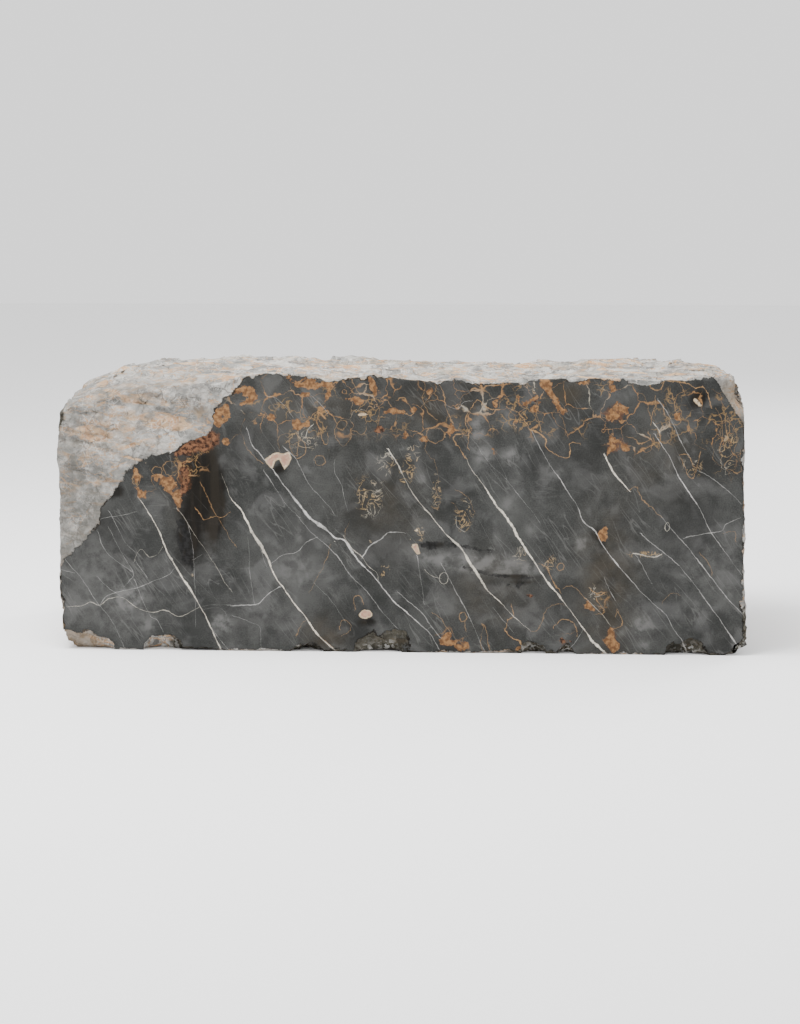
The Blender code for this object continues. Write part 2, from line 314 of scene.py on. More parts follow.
def layer_steps(points, seed):
    """Steps where thin layers parted: the cube of the share of the way through a layer, so
    that each ends in a sharp lip, times the layer's own number. Layers wander up and down."""
    across = points[:, 2] / LAYER_THICKNESS + LAYER_WANDER * lumps(points, LAYER_SIZE, seed)
    share = across - np.floor(across)
    return share ** 3 * hashed(np.floor(across)[:, None] * (1, 0, 0), seed + 1) * 2 - 0.5


def fine_relief(points, seed):
    """Small flake scars of two sizes, and the lips of broken layers."""
    relief = sum(height * scars(points, size, seed + i) for i, (size, height) in enumerate(FINE_SCARS))
    return relief + LAYER_STEP * layer_steps(points, seed + 5)


def face_relief(points, scar, seed):
    """Height of a rough face: flake scars on ledges, with small scars on top of both."""
    size, height = scar
    rough = height * (scars(points, size, seed) + LEDGE_SHARE * ledges(points, LEDGE_SIZE, seed + 7))
    return (rough + fine_relief(points, seed + 200)) * calm_near_front(points[:, 1])


def top_height(points):
    """The top: the front crest rounds up to the back crest along a quarter ellipse."""
    front = read_line(FRONT_CREST, points[:, 0])
    back = read_line(BACK_CREST, points[:, 0])
    share = np.clip((points[:, 1] - FRONT) / (DEPTH * CREST_REACH), 0, 1)
    rounded = np.sqrt(1 - (1 - share) ** 2)
    return blend(front, back, rounded) + face_relief(points, TOP_SCARS, 20)


def end_places(points):
    """How far along X the two ends stand, at each point's depth and height."""
    left = read_line(LEFT_END, points[:, 2]) - face_relief(points, LEFT_SCARS, 40)
    right = read_line(RIGHT_END, points[:, 2]) + face_relief(points, RIGHT_SCARS, 60)
    return left, right


def back_place(points):
    """How far back the back stands: its mean plane, plus its relief."""
    return DEPTH / 2 - BACK_INSET + face_relief(points, BACK_SCARS, 80)


print("faces: sawn front, flat underside, rough top, back and two ends")

# %% [markdown]
# ## One closed sheet
# The whole surface is a single grid of two parameters. One runs round the block's cross
# section: up the front, back over the top, down the back and forward under the base. The
# other runs along the block, and past each end the ring shrinks to a point, so the sheet
# closes there. The front gets the most rows, because that is where the fine edges are.

# %% The grid of two parameters
FRONT_ROWS, TOP_ROWS, BACK_ROWS, BASE_ROWS = 120, 60, 42, 20
LENGTH_STEPS = 300
CAP_STEPS = 38


def ring_shares():
    """Depth and height shares round the cross section, each from 0 to 1."""
    front = np.stack([np.zeros(FRONT_ROWS), np.arange(FRONT_ROWS) / FRONT_ROWS], -1)
    top = np.stack([np.arange(TOP_ROWS) / TOP_ROWS, np.ones(TOP_ROWS)], -1)
    back = np.stack([np.ones(BACK_ROWS), 1 - np.arange(BACK_ROWS) / BACK_ROWS], -1)
    base = np.stack([1 - np.arange(BASE_ROWS) / BASE_ROWS, np.zeros(BASE_ROWS)], -1)
    return np.concatenate([front, top, back, base])


def sheet_shares():
    """Each row's place along the block, and how far its ring has shrunk: 1 is full size."""
    shrink = np.arange(1, CAP_STEPS) / CAP_STEPS
    along = np.concatenate([np.zeros(len(shrink)), np.linspace(0, 1, LENGTH_STEPS + 1), np.ones(len(shrink))])
    size = np.concatenate([shrink, np.ones(LENGTH_STEPS + 1), shrink[::-1]])
    return along, size


def box_grid():
    """Shares (a, b, c) along X, Y and Z for every point of the sheet, then the two poles."""
    ring = ring_shares()
    along, size = sheet_shares()
    around = 0.5 + (ring[None] - 0.5) * size[:, None, None]
    places = np.broadcast_to(along[:, None, None], (len(along), len(ring), 1))
    grid = np.concatenate([places, around], -1).reshape(-1, 3)
    return np.concatenate([grid, [(0, 0.5, 0.5), (1, 0.5, 0.5)]])


shares = box_grid()
ring_count = len(ring_shares())
row_count = len(sheet_shares()[0])
print("sheet of", row_count, "rows by", ring_count, "points, and 2 poles:", len(shares))

# %% [markdown]
# ## The big flake scar
# A flake about 0.3 m across has left the upper left corner. Its scar starts at the
# measured line, drops steeply and then levels off, as a shell-shaped break does. The
# signed distance from the line does three jobs: it gives the depth, it calms the scar
# near its edge, and it tells the material where the sawn skin ends.

# %% Distance from the break line
SPALL_DEPTH = 0.062
SPALL_RUN = 0.110
SPALL_LIP = 0.012
SPALL_SCARS = ((0.058, 0.050, 0.048), 0.012)
CORNER_SLOPE = 0.55
CORNER_SCARS = ((0.020, 0.016, 0.018), 0.004)


def distance_past_line(x, z, line):
    """Distance from a line in the sawn face's plane, positive above it."""
    line = np.array(line)
    place = np.stack([x, z], -1)
    nearest = np.full(len(x), FAR)
    for start, end in zip(line[:-1], line[1:]):
        run = end - start
        along = np.clip((place - start) @ run / (run @ run), 0, 1)
        nearest = np.minimum(nearest, np.linalg.norm(place - start - along[:, None] * run, axis=1))
    above = z > np.interp(x, line[:, 0], line[:, 1])
    return np.where(above, nearest, -nearest)


def spall_depth(points, past):
    """Depth of the scar: a curve that tends to a limit, with flake scars on it."""
    inside = np.maximum(past, 0)
    size, height = SPALL_SCARS
    calm = np.clip(inside / size[0], 0, 1)
    depth = SPALL_DEPTH * (1 - np.exp(-inside / SPALL_RUN))
    depth += height * scars(points, size, 100) * calm
    return np.maximum(depth + fine_relief(points, 120) * np.clip(inside / SPALL_LIP, 0, 1), 0)


def corner_depth(points, past):
    """Depth of the broken upper right corner: a plain slope with small scars on it."""
    size, height = CORNER_SCARS
    rough = height * (scars(points, size, 140) + 0.5) * np.clip(past / size[0], 0, 1)
    return CORNER_SLOPE * np.maximum(past, 0) + rough


# %% Points of the stone before it is chipped
def stone_points(shares):
    """Blends each point between the two faces on either side of it, along each axis."""
    nominal = (shares - (0.5, 0.5, 0)) * (LENGTH, DEPTH, HEIGHT)
    left, right = end_places(nominal)
    x = blend(left, right, shares[:, 0])
    first_z = top_height(nominal) * shares[:, 2]
    past = distance_past_line(x, first_z, SPALL_LINE)
    flat_place = np.stack([x, np.full(len(x), FRONT), first_z], -1)
    corner = distance_past_line(x, first_z, CORNER_LINE)
    front = FRONT + spall_depth(flat_place, past) + corner_depth(flat_place, corner)
    y = blend(front, back_place(nominal), shares[:, 1])
    z = top_height(np.stack([nominal[:, 0], y, nominal[:, 2]], -1)) * shares[:, 2]
    return np.stack([x, y, z], -1), np.maximum(past, corner)


points, past_lines = stone_points(shares)
print("box before chips:", points.min(0).round(3), points.max(0).round(3))

# %% [markdown]
# ## Chips
# Knocks have broken the edges. Each chip is a lump of missing stone, an uneven ball, and
# every point of the sheet inside it slides to the ball's far side, away from an eye just
# outside the stone. That carves a bowl without cutting the mesh.

# %% Chips along the edges
CHIPS = (
    ("corner_bottom_left", (-0.566, -0.214, -0.012), (0.098, 0.042, 0.052)),
    ("left_edge_low", (-0.568, -0.216, 0.075), (0.024, 0.030, 0.040)),
    ("notch", (-0.384, -0.208, -0.002), (0.036, 0.030, 0.031)),
    ("notch_right", (-0.330, -0.209, -0.012), (0.050, 0.020, 0.021)),
    ("hollow", (-0.147, -0.206, -0.006), (0.025, 0.030, 0.021)),
    ("long_flake", (-0.028, -0.216, -0.004), (0.064, 0.026, 0.046)),
    ("pale_flake_left", (0.218, -0.207, -0.008), (0.024, 0.022, 0.029)),
    ("pale_flake_right", (0.270, -0.207, -0.010), (0.020, 0.018, 0.028)),
    ("peaked_flake", (0.466, -0.210, -0.010), (0.042, 0.026, 0.037)),
    ("corner_bottom_right", (0.575, -0.212, 0.000), (0.030, 0.034, 0.032)),
    ("corner_top_right", (0.572, -0.180, 0.466), (0.044, 0.210, 0.066)),
    ("corner_top_right_back", (0.574, 0.160, 0.462), (0.048, 0.110, 0.036)),
    ("nibble_1", (-0.112, -0.214, 0.464), (0.044, 0.026, 0.026)),
    ("nibble_2", (0.052, -0.215, 0.462), (0.046, 0.027, 0.028)),
    ("nibble_3", (0.166, -0.214, 0.460), (0.050, 0.024, 0.026)),
    ("nibble_4", (0.398, -0.214, 0.464), (0.060, 0.024, 0.027)),
    ("nibble_5", (0.284, -0.213, 0.464), (0.030, 0.022, 0.023)),
)
CHIP_SCARS = 0.45
CHIP_SCAR_SIZE = 0.70
CHIP_SHIFT = 3.7
CHIP_GRAIN = 0.10
CHIP_WIDEST = 1.6
CHIP_NEAR_FACE = 0.85
CHIP_EYE = 0.9


def way_out(middle):
    """Direction from the block's middle to a chip, along only the axes that it is out on."""
    share = (np.array(middle) - (0, 0, HEIGHT / 2)) / (LENGTH / 2, DEPTH / 2, HEIGHT / 2)
    out = np.where(np.abs(share) > CHIP_NEAR_FACE, np.sign(share), 0)
    return out / np.linalg.norm(out)


def carve_chip(points, middle, half_sizes, seed):
    """Moves points in an uneven ball to its far side, along lines from an eye near the
    ball's outer side. Also gives how deep in the ball each was, negative outside it.

    In units of the ball, a line from the eye e along d leaves a ball of radius r at
    -e.d + sqrt((e.d)^2 + r^2 - e^2)."""
    middle, half_sizes = np.array(middle), np.array(half_sizes)
    place = (points - middle) / half_sizes
    near = np.linalg.norm(place, axis=1) < CHIP_WIDEST
    inside = np.full(len(points), -FAR)
    place = place[near]
    heading = place + seed * CHIP_SHIFT
    reach = 1 - CHIP_SCARS * scars(heading, [CHIP_SCAR_SIZE] * 3, seed)
    reach -= CHIP_GRAIN * scars(heading, [CHIP_SCAR_SIZE / 3] * 3, seed + 5)
    inside[near] = (reach - np.linalg.norm(place, axis=1)) * half_sizes.min()
    eye = CHIP_EYE * reach.min(initial=1.0) * way_out(middle)
    ray = place - eye
    ray /= np.maximum(np.linalg.norm(ray, axis=1), 1e-9)[:, None]
    along = ray @ eye
    travel = -along + np.sqrt(np.maximum(along ** 2 + reach ** 2 - eye @ eye, 0))
    moved = points.copy()
    moved[near] = middle + (eye + ray * travel[:, None]) * half_sizes
    return np.where((inside > 0)[:, None], moved, points), inside


def carve_chips(points, chips):
    """Carves each chip in turn, keeps the points in the unchipped box, and gives how deep
    in the deepest chip each was."""
    margin = np.full(len(points), -FAR)
    low, high = points.min(0), points.max(0)
    for seed, (name, middle, half_sizes) in enumerate(chips, start=1):
        points, inside = carve_chip(points, middle, half_sizes, seed)
        margin = np.maximum(margin, inside)
    return np.clip(points, low, high), margin


# %% Flakes along the hidden edges
LONG_EDGE_FLAKES = 5
SHORT_EDGE_FLAKES = 2
FLAKE_SHIFT = 0.3
FLAKE_SIZE = (0.070, 0.030, 0.028)
FLAKE_SPREAD = 0.45
FLAKE_SEED = 11


def hidden_edges():
    """The block's edges away from the sawn face, each as its two ends."""
    left, right, back, top = -LENGTH / 2, LENGTH / 2, DEPTH / 2, HEIGHT
    return {
        "back_low": ((left, back, 0.0), (right, back, 0.0)),
        "back_high": ((left, back, top), (right, back, top)),
        "left_low": ((left, FRONT, 0.0), (left, back, 0.0)),
        "right_low": ((right, FRONT, 0.0), (right, back, 0.0)),
        "left_back": ((left, back, 0.0), (left, back, top)),
        "right_back": ((right, back, 0.0), (right, back, top)),
    }


def edge_flakes():
    """Chips spread along the hidden edges at seeded places, longest along their edge."""
    chance = np.random.default_rng(FLAKE_SEED)
    flakes = []
    for name, (start, end) in hidden_edges().items():
        start, end = np.array(start), np.array(end)
        along = np.abs(end - start) / np.linalg.norm(end - start)
        count = LONG_EDGE_FLAKES if along[0] else SHORT_EDGE_FLAKES
        for index in range(count):
            share = (index + 0.5 + chance.uniform(-FLAKE_SHIFT, FLAKE_SHIFT)) / count
            size = np.where(along > 0.5, FLAKE_SIZE[0], FLAKE_SIZE[1])
            size = size * (1 + FLAKE_SPREAD * chance.uniform(-1, 1, 3))
            flakes.append((f"{name}_{index + 1}", tuple(blend(start, end, share)), tuple(size)))
    return flakes


# %% [markdown]
# ## Worn edges of the sawn face
# A sawn marble edge is never perfectly sharp: small crystals break away all along it. The
# wear is a band of changing width. Inside it the face leans back, and its width comes from
# the same noise as the rest, so it is ragged.

# %% Wear along the edges
WEAR_LEAST = 0.0008
WEAR_MOST = 0.0075
WEAR_SLOPE = 0.75
WEAR_WAVES = ((0.026, 0.5), (0.008, 0.35))
DEEP_IN_BREAK = 0.03


def edge_distance(points):
    """Distance from the sawn face's outline: its crest, its two ends and its base."""
    x, z = points[:, 0], points[:, 2]
    sides = (
        read_line(FRONT_CREST, x) - z,
        x - read_line(LEFT_END, z),
        read_line(RIGHT_END, z) - x,
        z,
    )
    return np.maximum(np.minimum.reduce(sides), 0)


def wear_edges(points, on_front):
    """Leans the face back within its ragged band of wear, and gives the margin inside it."""
    ragged = 0.5
    for seed, (size, height) in enumerate(WEAR_WAVES, start=300):
        ragged = ragged + height * lumps(points, [size] * 3, seed)
    width = blend(WEAR_LEAST, WEAR_MOST, np.clip(ragged, 0, 1) ** 2)
    margin = np.where(on_front, width - edge_distance(points), -FAR)
    points[:, 1] += WEAR_SLOPE * np.maximum(margin, 0)
    return points, margin


on_front = shares[:, 1] == 0
points, wear_margin = wear_edges(points, on_front)
points, chip_margin = carve_chips(points, CHIPS + tuple(edge_flakes()))
front_margin = np.maximum.reduce([past_lines, wear_margin, chip_margin])
broken_margin = np.where(on_front, front_margin, DEEP_IN_BREAK)
print("share of the sheet that is sawn skin:", round(float((broken_margin < 0).mean()), 3))

# %% [markdown]
# ## Mesh
# The sheet becomes one mesh: four-sided faces between neighbouring rows, and a fan of
# triangles round each pole. Its volume is worked out as a check. A positive volume means
# that the faces point outwards.

# %% Faces of the sheet
def sheet_faces():
    """Corner numbers of every four-sided face, and of the triangles round the poles."""
    row, spot = np.meshgrid(np.arange(row_count - 1), np.arange(ring_count), indexing="ij")
    after = (spot + 1) % ring_count
    here, ahead = row * ring_count, (row + 1) * ring_count
    quads = np.stack([here + spot, ahead + spot, ahead + after, here + after], -1).reshape(-1, 4)
    ring = np.arange(ring_count)
    turn = (ring + 1) % ring_count
    last = (row_count - 1) * ring_count
    pole = row_count * ring_count
    first_fan = np.stack([np.full(ring_count, pole), ring, turn], -1)
    last_fan = np.stack([np.full(ring_count, pole + 1), last + turn, last + ring], -1)
    return quads, np.concatenate([first_fan, last_fan])


def make_mesh(name, points, quads, fans):
    """Hands whole arrays to a mesh: its points, its faces' corners and where each starts."""
    mesh = bpy.data.meshes.new(name)
    corners = np.concatenate([quads.ravel(), fans.ravel()])
    starts = np.concatenate([np.arange(len(quads)) * 4, len(quads) * 4 + np.arange(len(fans)) * 3])
    mesh.vertices.add(len(points))
    mesh.vertices.foreach_set("co", points.astype(np.float32).ravel())
    mesh.loops.add(len(corners))
    mesh.loops.foreach_set("vertex_index", corners.astype(np.int32))
    mesh.polygons.add(len(starts))
    mesh.polygons.foreach_set("loop_start", starts.astype(np.int32))
    mesh.update(calc_edges=True)
    mesh.validate()
    return mesh


def volume(points, quads, fans):
    """Sum over all triangles of a sixth of the triple product of their corners."""
    triangles = np.concatenate([quads[:, [0, 1, 2]], quads[:, [0, 2, 3]], fans])
    a, b, c = (points[triangles[:, corner]] for corner in range(3))
    return float((a * np.cross(b, c)).sum() / 6)


quads, fans = sheet_faces()
stone_mesh = make_mesh("marble_block_skin", points, quads, fans)
stone = bpy.data.objects.new("marble_block_skin", stone_mesh)
bpy.context.scene.collection.objects.link(stone)
stone_mesh.shade_smooth()
print("volume in litres:", round(volume(points, quads, fans) * 1000, 1))
print("triangles:", 2 * len(quads) + len(fans))

# %% [markdown]
# ## Where the markings run
# Veins are cracks that filled with calcite, so each is a thin sheet that runs through the
# whole stone, and the sawn face shows its edge. They could be painted as an image, but a
# line of a few points with a width keeps its crisp edge at any distance. Points are in
# millimetres on the sawn face: across from its middle, and up from its base. A smooth
# curve is drawn through them, and a vein that reaches the base is carried on below it, so
# that its sheet goes on across the hidden faces.

# %% Helpers for drawing on the stone
MM = 0.001
CURVE_STEP = 5.0
CARRY_FROM = 26.0
CARRY_TO = 436.0
CARRY_ON = 130.0
WHITE, CREAM, OCHRE, BROWN = 0.0, 0.33, 0.66, 1.0
veins = []
patches = []
clouds = []


def smooth_curve(points):
    """A curve through all points, sampled every few millimetres. Between two points it is
    the cubic whose slope at each is half the step between that point's neighbours."""
    p = np.array(points, float)
    p = np.concatenate([[2 * p[0] - p[1]], p, [2 * p[-1] - p[-2]]])
    pieces = []
    for a, b, c, d in zip(p[:-3], p[1:-2], p[2:-1], p[3:]):
        t = np.linspace(0, 1, max(2, int(np.linalg.norm(c - b) / CURVE_STEP) + 1))[:-1, None]
        pieces.append(0.5 * (2 * b + (c - a) * t + (2 * a - 5 * b + 4 * c - d) * t ** 2
                             + (3 * b - a - 3 * c + d) * t ** 3))
    return np.concatenate(pieces + [p[-2:-1]])


def carried_on(curve):
    """Lengthens a curve that ends at the base or the crest, straight on past it."""
    first, last = curve[0] - curve[1], curve[-1] - curve[-2]
    if curve[0, 1] < CARRY_FROM or curve[0, 1] > CARRY_TO:
        curve = np.concatenate([[curve[0] + first / np.linalg.norm(first) * CARRY_ON], curve])
    if curve[-1, 1] < CARRY_FROM or curve[-1, 1] > CARRY_TO:
        curve = np.concatenate([curve, [curve[-1] + last / np.linalg.norm(last) * CARRY_ON]])
    return curve


def vein(tint, widths, *points):
    """A vein with its tint and its widths in millimetres, spread evenly from end to end."""
    veins.append((tint, np.atleast_1d(widths).astype(float) / 2, carried_on(smooth_curve(points))))


def ring(tint, width, x, z, across, up):
    """A closed oval vein, given by its middle and half sizes."""
    turn = np.linspace(0, 2 * np.pi, 13)
    points = np.stack([x + across * np.cos(turn), z + up * np.sin(turn)], -1)
    veins.append((tint, np.array([width / 2]), smooth_curve(points)))


def patch(kind, *points):
    """A patch of one kind of colour, given by its outline."""
    patches.append((kind, np.array(points, float)))


def spot(kind, x, z, across, up):
    """An oval patch, given by its middle and half sizes."""
    turn = np.linspace(0, 2 * np.pi, 12, endpoint=False)
    patches.append((kind, np.stack([x + across * np.cos(turn), z + up * np.sin(turn)], -1)))


def cloud(kind, amount, *ovals):
    """Soft ovals of one kind, each as middle and half sizes: x, z, across, up."""
    clouds.extend((kind, amount, oval) for oval in ovals)


# %% The long white and cream veins
vein(CREAM, (1.5, 5, 5.5, 4, 3, 2, 1), (-420, 252), (-399, 219), (-385, 190), (-377, 167), (-366, 146),
     (-345, 111), (-325, 78), (-306, 40), (-296, 16), (-292, 8))
vein(WHITE, 1.2, (-306, 40), (-299, 30), (-290, 18), (-282, 8))
vein(CREAM, 1.2, (-358, 234), (-345, 218), (-328, 188), (-309, 162), (-291, 130), (-280, 110),
     (-271, 100))
vein(CREAM, (1, 2.2, 5, 7, 3, 2.5, 3, 5, 6, 5, 2), (-284, 290), (-270, 252), (-253, 231), (-239, 202),
     (-224, 177), (-210, 152), (-203, 131), (-188, 107), (-170, 82), (-148, 53), (-127, 24), (-104, 4))
vein(OCHRE, (0.6, 2.5, 3), (-160, 71), (-148, 54), (-127, 25), (-104, 5))
vein(WHITE, 1.0, (-222, 167), (-218, 154), (-213, 140))
vein(WHITE, 1.8, (-243, 365), (-235, 338), (-224, 327), (-214, 315))
vein(WHITE, (2.5, 5.5, 7, 5.5, 4, 3, 2.2, 1.8, 1.5, 1), (-203, 301), (-183, 272), (-162, 245), (-141, 220),
     (-119, 204), (-100, 187), (-87, 185), (-72, 161), (-58, 144), (-40, 127), (-19, 100), (0, 78),
     (25, 57), (50, 34), (58, 22))
vein(CREAM, 1.7, (-87, 190), (-73, 169), (-58, 158), (-50, 144), (-34, 131), (-32, 121))
vein(WHITE, (2.4, 1.1), (-58, 158), (-46, 175), (-27, 188), (-15, 198), (10, 198))
vein(OCHRE, 1.5, (-87, 190), (-85, 200), (-79, 212))
vein(WHITE, (0.9, 1.6, 1), (-166, 229), (-145, 202), (-119, 179), (-98, 158), (-77, 127), (-50, 100),
     (-27, 69), (-2, 40))
vein(WHITE, 1.4, (0, 100), (15, 86), (41, 65), (50, 49), (68, 26))
vein(WHITE, (1.6, 0.9), (-183, 336), (-162, 313), (-148, 282), (-127, 257), (-110, 238), (-104, 228))
vein(WHITE, 1.3, (-216, 296), (-197, 267), (-177, 238), (-160, 222))
vein(WHITE, 0.8, (-102, 313), (-102, 294), (-92, 276), (-81, 232))
vein(WHITE, 1.5, (-204, 147), (-187, 159), (-164, 165), (-150, 180), (-133, 189))
vein(WHITE, 1.8, (-192, 108), (-210, 96), (-228, 78), (-241, 77), (-270, 75))
vein(WHITE, 1.0, (-269, 59), (-237, 47), (-225, 40), (-224, 9))
vein(OCHRE, 1.2, (-109, 175), (-121, 144), (-137, 111), (-143, 100))
vein(OCHRE, 1.2, (-152, 51), (-160, 40), (-166, 26))
vein(WHITE, 0.8, (-243, 187), (-240, 127), (-234, 80))
vein(WHITE, 0.9, (-137, 115), (-106, 82), (-87, 51))
vein(CREAM, (3.4, 1.4, 1.6, 2.4, 5.5, 4, 2, 1.4), (-15, 332), (4, 300), (27, 257), (48, 232), (77, 196),
     (100, 175), (114, 152), (131, 127), (144, 105), (160, 90), (189, 60), (214, 39))
vein(OCHRE, 1.3, (214, 39), (226, 39), (233, 57), (243, 78), (267, 82))
vein(WHITE, 1.0, (155, 74), (174, 51), (186, 36))
vein(WHITE, (1.6, 1), (70, 146), (95, 100), (114, 63), (135, 16))
vein(WHITE, 1.2, (31, 160), (37, 119), (42, 82))
vein(CREAM, (0.9, 2.5, 4.5, 5.5, 3, 2.5, 6.5, 4, 1.2), (108, 321), (120, 299), (137, 276), (157, 245),
     (178, 219), (193, 192), (217, 156), (240, 121), (259, 98), (284, 65), (302, 40), (321, 16), (335, 3))
vein(WHITE, 1.4, (299, 40), (287, 20), (282, 13))
vein(WHITE, 1.0, (124, 344), (147, 311), (172, 288), (193, 261), (218, 230), (228, 216))
vein(WHITE, (0.9, 1.8, 1.8, 2.4, 1.6, 1.4, 4, 1.4), (213, 365), (234, 325), (259, 286), (286, 245),
     (298, 218), (316, 204), (329, 181), (358, 142), (379, 119), (406, 90), (430, 69), (445, 45),
     (461, 22))
vein(CREAM, (3.4, 2.4), (331, 325), (345, 298), (370, 269))
vein(OCHRE, 1.6, (370, 269), (382, 275), (391, 256), (422, 227))
vein(WHITE, (1.2, 2, 1.2), (422, 227), (439, 206), (463, 181), (482, 156), (501, 132), (528, 98),
     (559, 65))
vein(WHITE, 1.5, (414, 414), (433, 388), (447, 356), (463, 327))
vein(CREAM, 2.2, (408, 377), (416, 365))
vein(WHITE, (1.6, 2.8, 1.6, 1.2), (410, 359), (433, 325), (449, 292), (480, 245), (501, 204), (530, 163),
     (555, 131))
vein(WHITE, (1.8, 1.3, 1.5, 3.4, 1.2), (391, 198), (416, 177), (445, 154), (466, 131), (497, 90), (519, 59),
     (548, 18))
vein(WHITE, 1.3, (480, 301), (507, 286), (534, 263), (548, 249))
vein(WHITE, 1.5, (461, 193), (490, 199), (519, 205), (524, 214), (546, 225))
vein(CREAM, 1.2, (304, 92), (325, 71), (343, 49))
vein(WHITE, 1.2, (384, 163), (401, 132), (408, 119))
vein(WHITE, 1.3, (333, 125), (341, 107), (350, 90))
vein(OCHRE, 1.4, (426, 86), (433, 96), (443, 103), (453, 100))
vein(OCHRE, 1.3, (222, 390), (226, 379), (228, 363))
vein(OCHRE, 1.3, (259, 392), (265, 377), (267, 359))
vein(WHITE, 1.5, (77, 404), (95, 398), (104, 410), (116, 412))
vein(WHITE, 1.0, (-210, 417), (-195, 414), (-177, 396), (-170, 385))
print("long veins drawn:", len(veins))

# %% Hairlines on the left
vein(WHITE, 1.1, (-469, 229), (-452, 196), (-439, 173), (-421, 158))
vein(WHITE, 1.0, (-427, 148), (-417, 134), (-409, 121))
vein(WHITE, 1.0, (-470, 202), (-450, 161), (-431, 129), (-434, 119), (-446, 106))
vein(WHITE, 1.0, (-488, 196), (-475, 163), (-444, 138), (-433, 130))
vein(WHITE, 1.1, (-541, 148), (-517, 119), (-493, 81), (-467, 47), (-455, 20))
vein(WHITE, 0.9, (-550, 133), (-529, 128))
vein(CREAM, 1.4, (-539, 71), (-515, 73), (-502, 79), (-486, 74), (-473, 85), (-450, 87), (-428, 72),
     (-405, 63), (-380, 67), (-358, 56), (-345, 60), (-325, 72))
vein(WHITE, 1.3, (-486, 74), (-477, 89), (-450, 98), (-421, 105), (-398, 115), (-374, 125), (-365, 134))
vein(WHITE, 0.9, (-489, 121), (-475, 105), (-452, 89))
vein(WHITE, 1.0, (-429, 117), (-417, 82), (-403, 55), (-394, 51), (-385, 32))
vein(WHITE, 0.9, (-483, 217), (-457, 221), (-425, 229))
vein(CREAM, 1.3, (-381, 173), (-392, 158), (-405, 155), (-417, 168), (-427, 156), (-429, 148))
vein(WHITE, 0.9, (-341, 210), (-333, 171), (-331, 127), (-330, 42))
vein(WHITE, 1.0, (-318, 69), (-289, 71), (-280, 61))
vein(WHITE, 0.9, (-318, 74), (-293, 77), (-272, 76))
vein(WHITE, 1.0, (-332, 151), (-320, 158))
print("with hairlines:", len(veins))

# %% Ochre lines, loops and rings of the left and the middle
vein(OCHRE, 2.2, (-326, 235), (-313, 217), (-304, 220), (-294, 222), (-289, 219), (-274, 227))
vein(OCHRE, 1.8, (-318, 276), (-303, 241), (-289, 214), (-274, 190), (-264, 173))
vein(OCHRE, 1.4, (-272, 342), (-264, 352), (-251, 355), (-241, 332), (-232, 319), (-218, 311))
ring(OCHRE, 1.8, -390, 296, 9, 8)
ring(OCHRE, 1.8, -367, 299, 12, 12)
ring(OCHRE, 1.8, -422, 281, 7, 9.5)
vein(OCHRE, 1.4, (-191, 352), (-176, 357), (-171, 328), (-162, 319), (-161, 336), (-163, 356))
vein(OCHRE, 1.2, (-191, 352), (-193, 340), (-191, 330))
vein(OCHRE, 1.8, (-163, 359), (-154, 348), (-148, 332), (-152, 321), (-162, 317))
ring(OCHRE, 1.8, -125, 314, 9, 8)
vein(OCHRE, 2.0, (-145, 379), (-129, 392), (-118, 383))
vein(OCHRE, 1.6, (-116, 388), (-112, 392), (-98, 373), (-102, 356), (-87, 338), (-76, 350), (-75, 364),
     (-58, 357), (-52, 367))
vein(OCHRE, 1.8, (-124, 363), (-122, 348), (-114, 334), (-113, 357))
ring(OCHRE, 1.6, -90, 373, 8, 8)
vein(OCHRE, 1.2, (-235, 377), (-224, 386), (-218, 377))
vein(CREAM, 1.6, (-148, 352), (-145, 363), (-137, 371))
vein(OCHRE, 2.0, (-73, 443), (-61, 424), (-52, 423), (-48, 418))
vein(OCHRE, 1.6, (-55, 411), (-23, 413), (-11, 402))
vein(WHITE, 1.2, (-140, 421), (-121, 402), (-114, 393))
ring(OCHRE, 1.8, 60, 356, 16, 12)
vein(OCHRE, 2.4, (86, 375), (77, 400), (71, 431), (64, 439))
vein(OCHRE, 1.8, (40, 441), (42, 431), (39, 412), (46, 395), (60, 380))
vein(OCHRE, 1.8, (0, 413), (10, 416), (23, 398), (21, 388), (0, 392))
vein(OCHRE, 1.8, (23, 363), (29, 364), (39, 356))
vein(OCHRE, 1.3, (44, 344), (46, 330), (62, 305), (66, 280), (60, 271), (69, 253), (63, 238), (56, 240))
vein(OCHRE, 1.6, (93, 267), (114, 255), (124, 232))
vein(OCHRE, 1.4, (86, 245), (95, 240), (100, 226))
vein(OCHRE, 2.4, (114, 336), (112, 367), (108, 379), (118, 402), (128, 415), (143, 400), (160, 399))
vein(OCHRE, 2.0, (111, 357), (95, 357), (91, 346), (108, 319))
vein(OCHRE, 2.4, (174, 402), (193, 390), (213, 365), (223, 361), (238, 348), (235, 340), (249, 327),
     (274, 322), (275, 344), (290, 344))
vein(OCHRE, 1.6, (124, 439), (143, 425), (151, 417))
vein(OCHRE, 1.8, (57, 65), (64, 61), (73, 51), (85, 36))
ring(OCHRE, 1.8, 105, 60, 6, 8)
vein(OCHRE, 1.6, (109, 52), (111, 38))
vein(OCHRE, 2.0, (137, 47), (144, 32), (148, 11))
vein(OCHRE, 1.6, (137, 45), (136, 30), (136, 13))
ring(CREAM, 1.8, 74, 124, 7, 10)
vein(CREAM, 1.6, (67, 123), (54, 127), (44, 136))
vein(OCHRE, 3.0, (174, 38), (182, 28), (197, 22), (201, 11))
vein(OCHRE, 2.0, (184, 80), (188, 61), (178, 55), (175, 42))
vein(OCHRE, 1.8, (229, 148), (240, 144), (246, 127), (262, 102))
vein(OCHRE, 1.6, (240, 144), (246, 158), (249, 161))
ring(OCHRE, 1.6, 262, 144, 4.5, 4.5)
vein(OCHRE, 1.8, (269, 108), (281, 111), (304, 92))
vein(OCHRE, 2.4, (253, 45), (263, 57), (285, 51), (289, 32))
vein(CREAM, 1.6, (94, 223), (95, 208), (106, 201))
